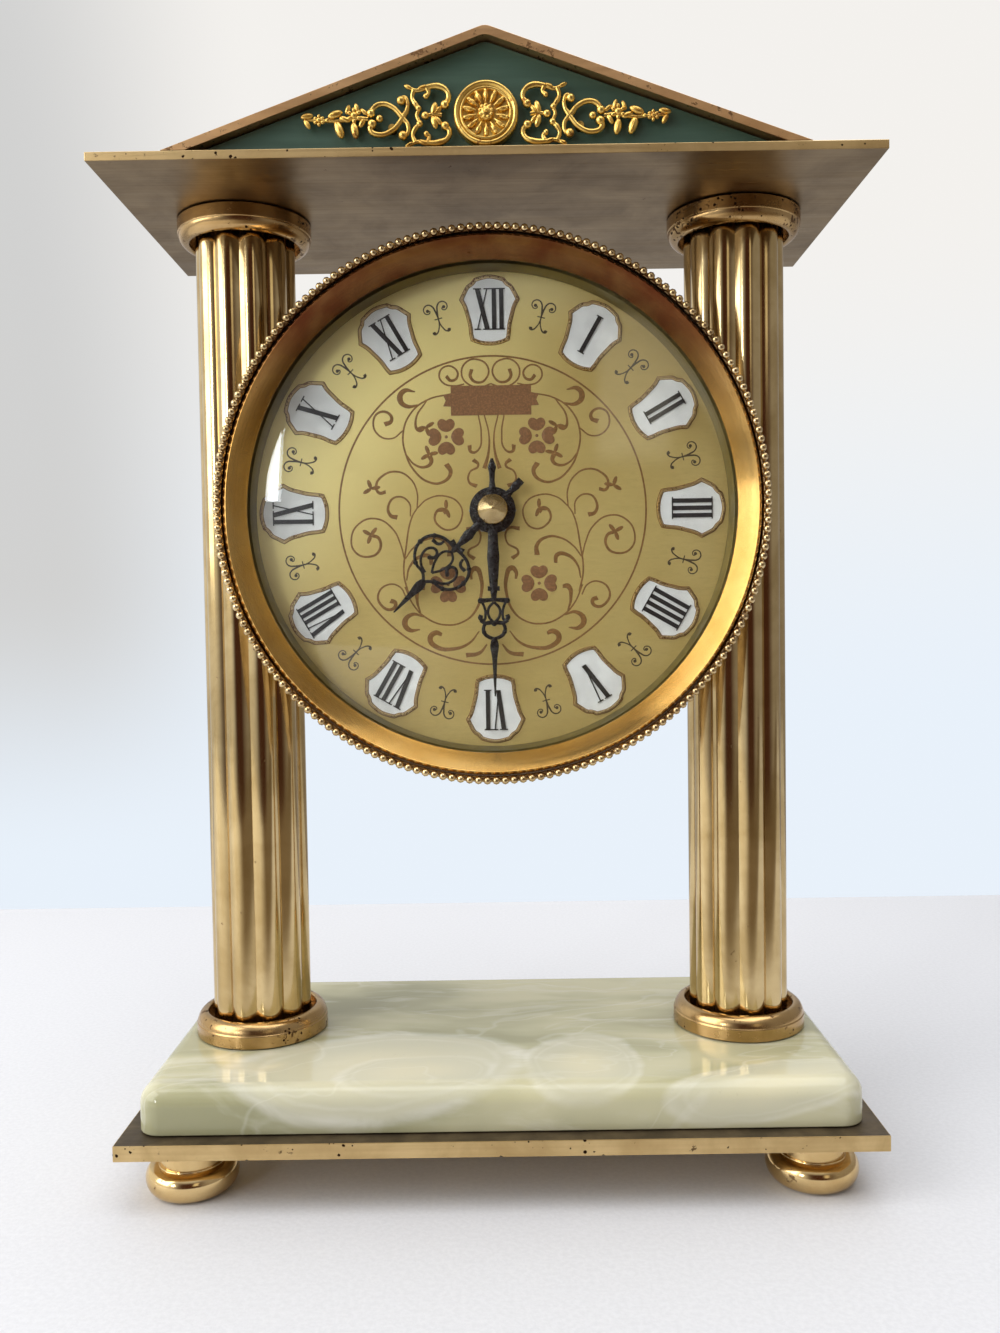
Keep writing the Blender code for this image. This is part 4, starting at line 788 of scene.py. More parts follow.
def make_ornament():
    """A cast mount: a rosette between two wings of scrolls, leaves and flowers."""
    wing = bmesh.new()
    lifted = [([(x, y, 0.9) for x, y in points], radii) for points, radii in WING_WIRES]
    add_copies(wing, wires(lifted, sides=2, smoothness=5))
    for x, y, radius in WING_BALLS:
        add_copies(wing, ball(radius, (x, y, 1.0)))
    for x, y, length, turn in WING_LEAVES:
        add_copies(wing, ball(length, (x, y, 1.0), (1.0, 0.48, 0.42), turn))
        add_copies(wing, ball(length, (x, y, 1.3), (0.8, 0.12, 0.42), turn, (8, 6)))
    for angle in range(0, 360, 60):
        spot = Matrix.Translation((28.0, 0.1, 0)) @ turned_round(angle)
        add_copies(wing, ball(0.6, (0, 1.15, 1.1), (0.8, 1.0, 0.8)), [spot])
        spot = Matrix.Translation((35.5, -0.7, 0)) @ turned_round(angle)
        add_copies(wing, ball(0.5, (0, 0.85, 0.9), (0.8, 1.0, 0.8), detail=(10, 6)), [spot])
    shape = bmesh.new()
    add_copies(shape, wing, BOTH_HALVES)
    make_rosette(shape)
    for sign in SIDES.values():
        add_copies(shape, peg(0.8, 4.2, 12, (sign * 20.0, -2.4, -1.2)))
    place = Matrix.Translation((0, -35.8, 235.3)) @ TO_THE_FRONT
    finished("ornament_cast", shape, place, ["cast_gilt"], "ornament", sharp=60)


# ---------------------------------------------------------------- head

def make_head_case():
    """The drum between the columns, with its flange, rolled back edge and outer hinge knuckles."""
    profile = [(59.4, 13.3), (59.4, 12.3), (46.5, 12.3), (46.5, -17.6), (46.9, -18.2), (46.9, -18.7),
               (46.5, -19.0), (45.5, -19.0), (45.5, 13.3)]
    shape = eased(turned(profile, 128, closed=True), 0.1)
    for sign in (-1, 1):
        add_copies(shape, eased(block((3.4, 7.2, 2.6), (-46.9, sign * 7.8, -18.1)), 0.15))
        knuckle = eased(peg(1.5, 7.2, 24), 0.15)
        upright = Matrix.Translation((-48.4, sign * 7.8, -20.0)) @ Matrix.Rotation(-math.pi / 2, 4, "X")
        add_copies(shape, knuckle, [upright])
    finished("head_case_drawn", shape, on_head(), ["case_brass"], "head_case", sharp=50)


def make_bezel():
    """A dished ring with a satin band, and the rim of tiny beads pressed round it."""
    outline = [(60.0, 26.3), (60.5, 25.9), (60.9, 25.2), (60.9, 12.6), (59.75, 12.6), (59.75, 24.3),
               (57.3, 20.9), (57.0, 20.4), (56.3, 20.4), (56.3, 21.2), (58.2, 23.9)]
    ring = eased(turned(outline, 192, closed=True), 0.12)
    finished("bezel_spun", ring, on_head(), ["bezel_brass"], "bezel")
    skirt = [(61.5, 25.3), (62.3, 25.3), (62.7, 24.7), (62.7, 12.6), (61.25, 12.6), (61.25, 25.0)]
    shape = eased(turned(skirt, 192, closed=True), 0.1)
    beads = 192
    add_copies(shape, ball(0.95, (62.15, 0, 25.7), detail=(8, 6)), all_round(beads))
    finished("beaded_rim_rolled", shape, on_head(), ["bead_brass"], "beaded_rim")


def make_glass_dome():
    """A shallow dome of glass with a flat edge under the bezel's lip."""
    edge, inner_edge, rise = 56.0, 55.6, 5.9
    outer_crown, inner_crown = 26.0, 24.8
    sphere = (edge ** 2 + rise ** 2) / (2 * rise)

    def height(radius, crown):
        return crown - sphere + math.sqrt(sphere ** 2 - radius ** 2)

    steps = [edge * i / 12 for i in range(13)]
    outer = [(radius, height(radius, outer_crown)) for radius in steps]
    inner = [(radius * inner_edge / edge, height(radius, inner_crown)) for radius in reversed(steps)]
    profile = outer + [(59.2, 20.1), (59.3, 20.0), (59.3, 19.0), (59.2, 18.9)] + inner
    finished("dome_glass_blown", turned(profile, 128), on_head(), ["glass"], "dome_glass", sharp=60)
    ring = [(59.3, 18.6), (59.3, 14.7), (55.3, 14.7), (55.5, 16.6), (56.0, 18.6)]
    finished("dial_surround_turned", turned(ring, 160, closed=True), on_head(), ["dark_lip"], "dial_surround")


# ---------------------------------------------------------------- dial

DIAL_INKS = ["dial_gold", "scroll_print", "frame_gilt", "enamel", "numeral_black", "plaque_print",
             "motif_print"]
PRINT, GILT, ENAMEL, BLACK, PLAQUE, MOTIF = range(1, 7)
CARTOUCHE = [(0, 54.7), (1.8, 54.45), (3.6, 53.9, "corner"), (4.3, 53.0), (5.3, 52.3), (6.3, 50.6),
             (7.1, 49.0, "corner"), (6.2, 47.4), (5.6, 45.4), (5.0, 43.0), (4.8, 41.0), (4.5, 39.5, "corner"),
             (2.4, 38.7), (0, 38.4)]
SCROLLS = [
    ([(0.0, 29.6), (2.2, 28.9), (5.3, 29.6), (6.8, 32.0), (5.6, 34.7), (2.8, 35.2), (0.6, 33.4), (1.0, 30.9),
      (2.9, 29.9), (4.7, 31.2), (4.4, 33.0)], (0.13, 0.15, 0.15, 0.3)),
    ([(6.2, 29.6), (8.4, 29.2), (11.2, 30.0), (12.0, 32.0), (10.6, 33.7), (8.4, 33.3), (7.7, 31.5),
      (9.2, 30.4), (10.4, 31.5)], (0.13, 0.15, 0.15, 0.3)),
    ([(9.1, 27.4), (15.0, 26.0), (18.9, 22.9), (20.7, 18.2), (20.1, 13.4), (18.1, 9.5), (15.0, 7.0),
      (11.8, 6.8), (9.7, 9.1), (10.7, 11.1)], (0.13, 0.15, 0.16, 0.2, 0.45)),
    ([(15.0, 26.0), (17.7, 21.3), (17.0, 19.0), (15.9, 19.6)], (0.12, 0.2, 0.45)),
    ([(20.1, 13.4), (18.0, 11.0), (15.5, 10.5), (14.2, 11.6), (14.6, 13.1)], (0.12, 0.18, 0.3, 0.42)),
    ([(16.8, 24.9), (19.9, 24.7), (21.3, 26.4), (20.3, 28.2), (17.7, 28.0)], (0.12, 0.35, 0.5, 0.4, 0.1)),
    ([(20.7, 19.0), (23.4, 17.2), (26.6, 18.2), (27.6, 21.3), (26.2, 23.3), (23.8, 22.9),
      (23.4, 21.3), (25.0, 20.5)], (0.12, 0.15, 0.2, 0.4)),
    ([(3.0, 22.3), (2.4, 18.2), (3.2, 14.2), (4.8, 13.8), (5.2, 15.4)], (0.12, 0.16, 0.35)),
    ([(1.6, 22.3), (0.6, 17.8), (0.8, 13.4), (1.8, 9.9)], (0.12, 0.14, 0.35)),
    ([(4.4, 12.0), (3.2, 10.7), (5.2, 9.1), (5.4, 6.8), (3.6, 5.8)], (0.35, 0.15, 0.15, 0.35)),
    ([(6.3, -4.2), (3.6, -4.2), (3.2, -7.3), (5.9, -9.7), (4.4, -11.2)], (0.35, 0.15, 0.15, 0.35)),
    ([(17.7, 0.9), (15.2, 3.0), (11.0, 3.6), (7.7, 1.6), (7.3, -1.6), (9.6, -4.2), (12.6, -3.4), (13.6, -1.0),
      (12.0, 0.6), (10.9, -0.4)], (0.12, 0.14, 0.15, 0.18, 0.35)),
    ([(17.7, 0.9), (18.9, -1.0), (20.5, -8.5), (21.1, -14.4), (20.1, -19.1)], (0.12, 0.15, 0.15)),
    ([(17.7, 0.9), (17.7, 4.8), (19.3, 7.9), (22.5, 9.5), (26.0, 8.3), (27.2, 6.4), (26.6, 4.6), (25.0, 4.8)],
     (0.12, 0.15, 0.2, 0.3)),
    ([(19.3, -1.0), (19.7, 2.4), (22.5, 3.6), (24.4, 1.7), (24.0, -0.7), (22.4, -1.2)],
     (0.12, 0.15, 0.22, 0.4)),
    ([(20.9, -10.9), (21.7, -7.7), (23.6, -3.8), (27.6, -1.4), (31.5, -2.6), (33.3, -6.1), (32.3, -9.3),
      (29.1, -10.3), (26.8, -8.9), (26.8, -6.1), (28.5, -5.3)], (0.12, 0.15, 0.15, 0.2, 0.3)),
    ([(20.7, -10.9), (18.9, -8.5), (15.8, -6.5), (12.6, -6.3), (10.3, -8.1), (10.3, -10.5)],
     (0.12, 0.15, 0.25, 0.45)),
    ([(20.5, -16.0), (19.7, -12.8), (17.3, -10.5), (15.0, -10.5), (14.6, -12.4)], (0.12, 0.2, 0.4, 0.3)),
    ([(20.9, -17.5), (18.9, -21.9), (15.8, -25.0), (11.4, -26.6), (7.1, -25.8), (4.4, -23.4), (3.0, -19.5),
      (3.0, -15.6), (4.2, -13.4), (5.3, -14.4), (5.2, -16.0)], (0.12, 0.15, 0.15, 0.25, 0.45, 0.2)),
    ([(17.3, -23.8), (18.1, -20.7), (17.5, -17.9), (16.2, -17.9)], (0.12, 0.25, 0.45, 0.3)),
    ([(20.7, -19.9), (22.1, -17.5), (24.8, -16.9), (27.2, -19.1), (26.4, -21.9), (24.0, -22.7), (23.2, -21.3),
      (24.4, -20.7)], (0.12, 0.15, 0.25, 0.4)),
    ([(16.6, -24.6), (19.3, -24.0), (21.1, -25.8), (20.1, -27.6), (17.5, -27.6)], (0.12, 0.3, 0.5, 0.4, 0.1)),
    ([(3.6, -28.2), (5.9, -30.9), (9.9, -32.3), (13.8, -31.7), (15.2, -29.7), (13.8, -28.4), (12.4, -28.9)],
     (0.1, 0.25, 0.4, 0.5, 0.3)),
    ([(1.8, -31.3), (3.6, -33.3), (6.8, -33.8)], (0.12, 0.3, 0.4)),
]
TREFOILS = [(28.4, 5.6, 20), (28.7, -5.2, 60), (10.9, 0.6, 100), (15.3, 19.7, 200), (14.7, 13.4, 20)]
STAR_MOTIF = ([(1.87, 2.4), (1.45, 2.1), (1.9, 1.65), (2.6, 1.95), (2.8, 2.75), (2.3, 3.5), (1.35, 3.65),
               (0.6, 3.05), (0.26, 2.0), (0.05, 0.8), (0.0, 0.0), (0.06, -1.0), (0.5, -2.3),
               (1.15, -3.15), (1.8, -3.2), (1.95, -2.7)],
              (0.14, 0.13, 0.13, 0.14, 0.15, 0.17, 0.2, 0.2, 0.15, 0.15, 0.2, 0.3))


NUMERAL_BACK, NUMERAL_THICKNESS = 0.12, 0.11


def bar(bottom_x, top_x, width, low, high):
    """One upright or leaning stroke of a numeral, cut level at both ends."""
    shape = bmesh.new()
    corners = ((bottom_x - width / 2, low), (bottom_x + width / 2, low), (top_x + width / 2, high),
               (top_x - width / 2, high))
    face = shape.faces.new([shape.verts.new((x, y, NUMERAL_BACK)) for x, y in corners])
    raised(shape, [face], NUMERAL_THICKNESS)
    return shape


def numeral(letters):
    """Roman figures with thick and thin strokes and fine flat serifs that join up."""
    low, high, serif, thick, thin = 42.15, 51.45, 0.26, 1.0, 0.28
    widths = {"I": 1.72, "V": 3.6, "X": 3.75}
    total = sum(widths[letter] for letter in letters)
    squeeze = min(1.0, 7.9 / total)
    shape = bmesh.new()
    x = -total / 2
    for letter in letters:
        middle, half = x + widths[letter] / 2, widths[letter] / 2
        reach = half - 0.75
        if letter == "I":
            strokes, feet = [(0, 0, thick)], [(0, 1.72, low), (0, 1.72, high)]
        elif letter == "V":
            strokes = [(0.2, -reach, thick * 1.1), (0.05, reach, thin)]
            feet = [(-reach, 1.9, high), (reach, 1.5, high)]
        else:
            strokes = [(reach, -reach, thick * 1.1), (-reach, reach, thin)]
            feet = [(-reach, 1.5, low), (reach, 1.9, low), (-reach, 1.9, high), (reach, 1.5, high)]
        for bottom_x, top_x, width in strokes:
            add_copies(shape, bar(middle + bottom_x, middle + top_x, width, low, high))
        for foot_x, width, y in feet:
            add_copies(shape, bar(middle + foot_x, middle + foot_x, width, y - serif / 2, y + serif / 2))
        x += widths[letter]
    bmesh.ops.scale(shape, vec=(squeeze, 1, 1), verts=shape.verts)
    return shape


def make_cartouche():
    """A white enamel shield in a raised gilt frame with a thin dark outline."""
    outline = CARTOUCHE + [(-point[0], *point[1:]) for point in reversed(CARTOUCHE[1:-1])]
    shape, lid = outline_plate(outline, -0.3, 0.03, 4)
    for face in shape.faces:
        face.material_index = PRINT
    for width, rise, ink in ((0.15, 0.0, PRINT), (0.12, 0.32, GILT), (0.36, 0.0, GILT), (0.14, -0.3, GILT),
                              (0.16, 0.0, PRINT)):
        rim = bmesh.ops.inset_region(shape, faces=[lid], thickness=width, depth=rise,
                                     use_even_offset=True, use_boundary=True)["faces"]
        for face in rim:
            face.material_index = ink
        bmesh.ops.remove_doubles(shape, verts=lid.verts, dist=0.1)
        lid = max(shape.faces, key=lambda face: face.calc_area() if face.normal.z > 0.9 else 0.0)
    lid.material_index = ENAMEL
    return shape


def petal_flower():
    """Four heart-shaped petals round a pale diamond with a dot."""
    shape = bmesh.new()
    heart = [(0, 1.1, "corner"), (0.95, 1.4), (1.85, 2.3), (2.0, 3.3), (1.35, 4.1), (0.6, 4.1),
             (0, 3.75, "corner"), (-0.6, 4.1), (-1.35, 4.1), (-2.0, 3.3), (-1.85, 2.3), (-0.95, 1.4)]
    add_copies(shape, cut_sheet(heart, 0.06, 0.01, 4), all_round(4))
    add_copies(shape, ball(0.38, (0, 0, 0.0), (1, 1, 0.15)))
    return shape


def trefoil():
    """Three small leaves that meet at a point."""
    shape = bmesh.new()
    for turn in (0, 100, -100):
        add_copies(shape, ball(0.85, (0, 0.8, 0), (0.42, 1.0, 0.05), detail=(10, 6)), [turned_round(turn)])
    return shape


def make_dial():
    """The dial plate with its scrollwork, cartouches, numerals and small motifs in separate inks."""
    shape = turned([(4.5, 0), (58.5, 0), (58.6, -0.1), (58.6, -0.8), (4.5, -0.8)], 160, closed=True)
    add_copies(shape, turned([(35.8, 0.03), (36.22, 0.03), (36.22, -0.2), (35.8, -0.2)], 160, closed=True),
               finish=PRINT)
    strokes = [(points, [1.4 * width for width in widths]) for points, widths in SCROLLS]
    add_copies(shape, wires(strokes, 0.1, 1, 6), BOTH_HALVES, PRINT)
    for x, y, turn in TREFOILS:
        spot = Matrix.Translation((x, y, 0.0)) @ turned_round(turn) @ Matrix.Scale(1.35, 4)
        add_copies(shape, trefoil(), [half @ spot for half in BOTH_HALVES], PRINT)
    for x, y in ((10.6, 17.4), (10.7, -17.1)):
        spot = Matrix.Translation((x, y, 0.0))
        add_copies(shape, petal_flower(), [half @ spot for half in BOTH_HALVES], PLAQUE)
    plaque = [(9.4, 22.3), (9.4, 24.4), (11.2, 24.5), (10.6, 25.8), (11.2, 27.2), (9.4, 27.3), (9.4, 29.2)]
    outline = [(*point, "corner") for point in plaque + [(-x, y) for x, y in reversed(plaque)]]
    add_copies(shape, cut_sheet(outline, 0.08, 0.01, 1), finish=PLAQUE)
    hours = ("XII", "I", "II", "III", "IIII", "V", "VI", "VII", "VIII", "IX", "X", "XI")
    places = all_round(12)
    cartouche = make_cartouche()
    add_copies(shape, cartouche, places)
    for place, letters in zip(places, hours):
        add_copies(shape, numeral(letters), [place], BLACK)
    motif = wires(both_sides(STAR_MOTIF) + [([(-0.9, 0, 0), (0.9, 0, 0)], (0.13,))], 0.15, 1, 5)
    for x, y, radius in ((1.95, 2.35, 0.4), (1.72, -3.0, 0.36)):
        add_copies(motif, ball(radius, (x, y), (1, 1, 0.1), detail=(10, 6)), BOTH_HALVES)
    spots = [turned_round(30 * hour + 15) @ standing(0, 46.3) for hour in range(12)]
    add_copies(shape, motif, spots, MOTIF)
    finished("dial_plate_printed", shape, on_head(14.4), DIAL_INKS, "dial_plate")


# ---------------------------------------------------------------- hands

HOUR_WIRES = [
    ([(0, 4.6), (0, 6.4), (0, 8.0), (0, 9.6), (0, 11.0), (0, 12.6)], (1.1, 0.9, 1.25, 1.0, 0.6, 0.5)),
    ([(-1.9, 11.6), (0, 12.0), (1.9, 11.6)], (0.55, 0.4, 0.55)),
    ([(0, -4.6), (0, -6.2), (0, -7.8), (0, -9.4)], (0.9, 0.7, 1.0, 0.7)),
    ([(-0.9, -9.2), (0.9, -9.2)], (0.5,)),
]
HOUR_SCROLLS = [
    ([(0.0, 12.6), (2.2, 12.4), (4.6, 13.0), (6.4, 14.6), (7.0, 17.0), (6.2, 19.6), (4.0, 21.4), (1.6, 21.8),
      (0.0, 23.2)], (0.35, 0.4, 0.4, 0.35, 0.4)),
    ([(1.2, 21.4), (3.3, 20.6), (4.7, 18.6), (4.3, 16.4), (2.8, 15.9), (2.0, 17.2), (2.9, 18.2)],
     (0.32, 0.32, 0.34, 0.5)),
    ([(0.0, 13.6), (1.5, 15.0), (1.3, 18.0), (0.0, 20.4)], (0.3, 0.3)),
    ([(3.0, 13.0), (3.5, 14.4), (5.3, 14.7)], (0.3, 0.45)),
]
MINUTE_WIRES = [
    ([(0, 4.6), (0, 7.5), (0, 11.0), (0, 14.5), (0, 17.6), (0, 21.2)], (1.1, 1.2, 1.45, 1.2, 0.95, 0.55)),
    ([(-1.4, 18.3), (1.4, 18.3)], (0.55,)),
    ([(-3.0, 21.1), (0, 20.9), (3.0, 21.1)], (0.6, 0.4, 0.6)),
    ([(0, -4.6), (0, -6.6), (0, -8.6), (0, -9.8), (0, -11.8)], (0.9, 0.6, 0.7, 1.0, 0.3)),
]
MINUTE_SCROLLS = [
    ([(0.0, 21.4), (1.3, 23.0), (1.2, 24.8), (0.0, 26.3)], (0.32,)),
    ([(3.0, 21.1), (2.3, 22.4), (2.0, 24.2), (2.4, 25.6), (3.3, 25.2), (3.0, 24.4)], (0.3, 0.3, 0.5)),
    ([(0.0, 26.4), (1.6, 26.2), (2.5, 27.4), (2.2, 28.8), (1.2, 29.6), (0.0, 30.0)], (0.35, 0.4, 0.45, 0.4)),
    ([(0.0, 26.2), (2.0, 26.3), (3.2, 25.6)], (0.35, 0.5)),
]


def make_hand(name, bars, scrolls, spear, knobs, forward, clock_angle, body):
    """A pierced cast hand: hub ring, baluster arm, openwork head and long spear."""
    flatten = 0.34
    shape = turned([(2.45, -0.2), (5.2, -0.2), (5.4, 0), (5.2, 0.2), (2.45, 0.2)], 48, closed=True)
    if body == "minute_hand":
        shape = turned([(1.35, -0.2), (4.3, -0.2), (4.5, 0), (4.3, 0.2), (1.35, 0.2)], 48, closed=True)
    paths = list(bars)
    for path in scrolls:
        paths += both_sides(path)
    add_copies(shape, wires(paths, flatten, 2, 5))
    half, foot, tip = spear
    blade = [(0, foot, "corner"), (half, foot + 0.8), (half * 0.75, foot + 5), (0.16, tip, "corner"),
             (-0.16, tip, "corner"), (-half * 0.75, foot + 5), (-half, foot + 0.8)]
    add_copies(shape, cut_sheet(blade, 0.5, 0.12, 4), [Matrix.Translation((0, 0, -0.25))])
    for x, y, radius in knobs:
        for sign in (-1, 1):
            add_copies(shape, ball(radius, (sign * x, y), (1, 1, flatten * 1.2)))
    bumps = 14
    ring = 4.6 if body == "hour_hand" else 3.7
    add_copies(shape, ball(0.48, (0, ring, 0.2), (1, 1, 0.75), detail=(10, 6)), all_round(bumps))
    finished(name + "_pierced", shape, on_head(forward) @ turned_round(clock_angle), ["black_paint"], name,
             body, sharp=60)


def make_hands():
    make_hand("hour_hand", HOUR_WIRES, HOUR_SCROLLS, (0.9, 22.6, 33.2),
              [(7.0, 17.0, 0.65), (4.4, 21.3, 0.6), (5.6, 13.7, 0.6), (2.9, 18.2, 0.5), (0, 12.9, 0.7)],
              16.4, 225.0, "hour_hand")
    make_hand("minute_hand", MINUTE_WIRES, MINUTE_SCROLLS, (0.8, 29.6, 43.4),
              [(3.1, 21.1, 0.7), (3.2, 25.0, 0.6), (2.4, 28.4, 0.55), (0, 26.4, 0.7)],
              17.6, 180.0, "minute_hand")
    cone = [(0, 21.5), (0.5, 21.35), (3.3, 19.1), (3.45, 18.8), (3.45, 18.3), (1.35, 18.3), (1.35, 20.6),
            (0, 20.6)]
    finished("hand_nut_turned", turned(cone, 48), on_head(), ["bead_brass"], "hand_nut", "minute_hand",
             sharp=50)


# ---------------------------------------------------------------- back and movement

def make_back():
    """The round rear door with two pressed rings, its knuckle and its pull."""
    profile = [(0, -20.7), (34.0, -20.7), (34.4, -21.1), (35.6, -21.1), (36.0, -20.7), (44.6, -20.7),
               (45.2, -21.0), (46.0, -21.0), (46.3, -20.7), (46.3, -19.3), (0, -19.3)]
    shape = eased(turned(profile, 128), 0.08, 2, 40)
    add_copies(shape, eased(block((3.2, 7.4, 1.4), (-46.7, 0, -20.0)), 0.1))
    add_copies(shape, eased(peg(1.5, 8.0, 24), 0.15),
               [Matrix.Translation((-48.4, 0, -20.0)) @ Matrix.Rotation(-math.pi / 2, 4, "X")])
    finished("rear_door_pressed", shape, on_head(), ["case_brass"], "rear_door", "rear_door", sharp=50)
    knob = [(0, 7.4), (1.4, 7.35), (2.4, 7.0), (3.1, 6.3), (3.4, 5.3), (3.2, 4.3), (2.5, 3.4), (1.9, 2.6),
            (1.9, 1.7), (2.5, 1.2), (2.5, 1.0), (1.3, 0.9), (1.3, -1.6), (0, -1.6)]
    outward = Matrix.Translation((37.3, 20.0, HEAD_HEIGHT)) @ Matrix.Rotation(-math.pi / 2, 4, "X")
    finished("door_knob_turned", turned(knob, 48), outward, ["polished_brass"], "door_knob", "rear_door",
             sharp=50)


WORKED = {
    "movement_front_shell": ("black_plastic", 0.25, "case"),
    "movement_rear_shell": ("black_plastic", 0.2, "case"),
    "circuit_board": ("board_green", 0.05, "case"),
    "battery": ("battery_wrap", 0.15, "case"),
    "tie_rod_nut_left": ("brushed_brass", 0.2, "case"),
    "tie_rod_nut_right": ("brushed_brass", 0.2, "case"),
    "tie_rod_washer_left": ("steel", 0.1, "case"),
    "tie_rod_washer_right": ("steel", 0.1, "case"),
    "ornament_nut_left": ("brushed_brass", 0.12, "case"),
    "ornament_nut_right": ("brushed_brass", 0.12, "case"),
    "dial_nut": ("steel", 0.1, "case"),
}

def make_works():
    """Worked pieces behind the dial, and finishes for the solids that stay as they are."""
    for node, (finish, width, body) in WORKED.items():
        finished(node + "_worked", eased(from_cad(node), width), Matrix(), [finish], node, body)
    for part in frame["record"]["subparts"]:
        solid = frame["nodes"][part["node"]]
        if solid.hide_render:
            continue
        solid.data.materials.clear()
        solid.data.materials.append(FINISHES[part["material_slot"]].material)


# ---------------------------------------------------------------- stage, light and camera

def make_table_top():
    """A pale table that ends a little behind the clock, with a painted shadow over its front part out of
    view.
    """
    shape = block((2.4, 0.705, 0.02), (0, -0.1275, -0.01))
    mesh = bpy.data.meshes.new("table_top")
    shape.to_mesh(mesh)
    shape.free()
    top = bpy.data.objects.new("table_top", mesh)
    bpy.context.scene.collection.objects.link(top)
    finish = Finish("pale_table", Specular_IOR_Level=0.3)
    tree = finish.tree
    speckle = noise(tree, finish.place, 900.0, 3.0, 0.6)
    x, y, _ = split(tree, finish.place)
    tone = blend(tree, ramp(tree, speckle, 0.3, 0.7), (0.67, 0.675, 0.70, 1), (0.72, 0.725, 0.75, 1))
    # A painted shadow on the table's front part, darker to the right.
    painted_shadow = blend(tree, ramp(tree, x, -0.22, 0.02), (0.62, 0.60, 0.56, 1), (0.17, 0.13, 0.085, 1))
    finish.wire("Base Color", blend(tree, ramp(tree, y, -0.11, -0.2), tone, painted_shadow))
    finish.wire("Roughness", ramp(tree, speckle, 0.3, 0.7, 0.5, 0.65))
    finish.bump(speckle, 0.05)
    mesh.materials.append(finish.material)


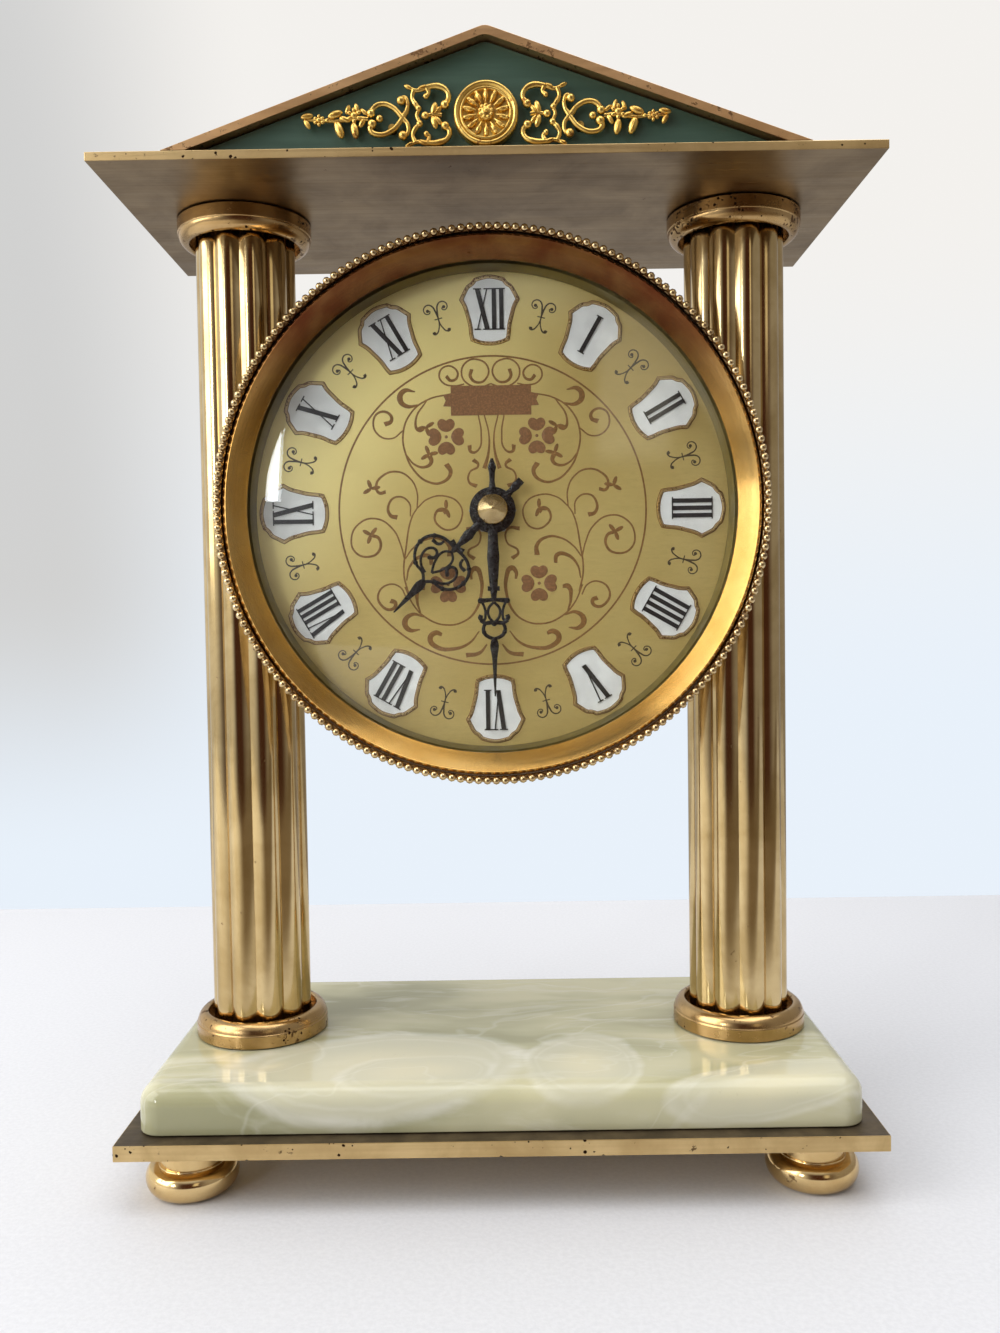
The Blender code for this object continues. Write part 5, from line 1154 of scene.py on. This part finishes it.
def make_room():
    """A pale room: a bright window side on the left, a dim warm front with one opening, pale walls behind."""
    world = bpy.data.worlds.new("room")
    bpy.context.scene.world = world
    world.use_nodes = True
    tree = world.node_tree
    towards = add_node(tree, "TexCoord").outputs["Generated"]
    x, y, z = split(tree, towards)
    walls = blend(tree, ramp(tree, z, -0.3, 0.6), (0.62, 0.63, 0.67, 1), (0.84, 0.86, 0.90, 1))
    right = ramp(tree, x, 0.25, 0.6)
    walls = blend(tree, sum_of(tree, "MULTIPLY", right, 0.6), walls, (0.30, 0.25, 0.19, 1))
    in_front = sum_of(tree, "MULTIPLY", ramp(tree, y, -0.5, -0.75), ramp(tree, z, 0.72, 0.5))
    side = ramp(tree, sum_of(tree, "ABSOLUTE", sum_of(tree, "SUBTRACT", x, 0.08)), 0.75, 0.25)
    dim = sum_of(tree, "MULTIPLY", in_front, side)
    walls = blend(tree, dim, walls, (0.10, 0.042, 0.026, 1))
    window = sum_of(tree, "MULTIPLY", ramp(tree, x, -0.35, -0.85), ramp(tree, z, -0.25, 0.05))
    walls = blend(tree, window, walls, (1.3, 1.3, 1.28, 1))
    across = sum_of(tree, "MULTIPLY", ramp(tree, x, 0.24, 0.28), ramp(tree, x, 0.46, 0.41))
    upward = sum_of(tree, "MULTIPLY", ramp(tree, z, 0.18, 0.26), ramp(tree, z, 0.56, 0.50))
    opening = sum_of(tree, "MULTIPLY", sum_of(tree, "MULTIPLY", across, upward), ramp(tree, y, -0.4, -0.6))
    walls = blend(tree, opening, walls, (1.25, 1.15, 0.9, 1))
    pale = blend(tree, ramp(tree, z, -0.1, 0.35), (0.81, 0.88, 0.96, 1), (0.90, 0.88, 0.85, 1))
    shade = sum_of(tree, "MULTIPLY", ramp(tree, x, -0.18, -0.38), ramp(tree, z, -0.2, 0.05))
    pale = blend(tree, shade, pale, (0.64, 0.64, 0.635, 1))
    seen = add_node(tree, "Background", {"Color": pale, "Strength": 1.0})
    lit = add_node(tree, "Background", {"Color": walls, "Strength": 0.75})
    rays = add_node(tree, "LightPath")
    wires = {0: rays.outputs["Is Camera Ray"], 1: lit.outputs[0], 2: seen.outputs[0]}
    mixed = add_node(tree, "MixShader", wires)
    out = tree.nodes.get("World Output") or tree.nodes.new("ShaderNodeOutputWorld")
    tree.links.new(mixed.outputs[0], out.inputs["Surface"])


def make_lamp(name, place, aim, size, power, colour):
    light = bpy.data.lights.new(name, "AREA")
    light.shape = "RECTANGLE"
    light.size, light.size_y = size
    light.energy = power
    light.color = colour
    lamp = bpy.data.objects.new(name, light)
    bpy.context.scene.collection.objects.link(lamp)
    lamp.location = place
    lamp.rotation_euler = (Vector(aim) - Vector(place)).to_track_quat("-Z", "Y").to_euler()
    lamp.visible_camera = False


def make_camera():
    """A close camera just below the dial's middle, tilted a little down and leaning to the left."""
    focal, frame_height, pitch, yaw, lean = 1100.0, 1333.0, 0.038, -0.002, 0.015
    data = bpy.data.cameras.new("camera")
    data.sensor_width = 36.0
    data.lens = 36.0 * focal / frame_height
    data.clip_start, data.clip_end = 0.01, 20.0
    camera = bpy.data.objects.new("camera", data)
    bpy.context.scene.collection.objects.link(camera)
    forward = Vector((math.sin(yaw) * math.cos(pitch), math.cos(yaw) * math.cos(pitch), -math.sin(pitch)))
    level = Vector((math.cos(yaw), -math.sin(yaw), 0.0))
    down = forward.cross(level)
    right = level * math.cos(lean) + down * math.sin(lean)
    up = level * math.sin(lean) - down * math.cos(lean)
    axes = Matrix((right, up, -forward)).transposed().to_4x4()
    camera.matrix_world = Matrix.Translation(Vector((1.7, -274.5, 127.05)) * MM) @ axes
    bpy.context.scene.camera = camera


make_feet()
make_base_plate()
make_slab()
make_columns()
make_collars()
make_roof()
make_ornament()
make_head_case()
make_bezel()
make_glass_dome()
make_dial()
make_hands()
make_back()
make_works()
make_table_top()
make_room()
make_lamp("window_light", (-0.75, -0.35, 0.55), (0, 0, 0.12), (0.6, 0.8), 5.6, (1.0, 0.99, 0.97))
make_lamp("ceiling_light", (0.1, -0.05, 0.95), (0, 0, 0.1), (0.9, 0.9), 6.2, (1.0, 1.0, 1.0))
make_lamp("far_window", (-0.73, -1.0, 0.43), (-0.05, 0, 0.16), (0.10, 0.24), 1.4, (0.93, 0.97, 1.0))
make_camera()
bpy.context.scene.view_settings.view_transform = "Standard"
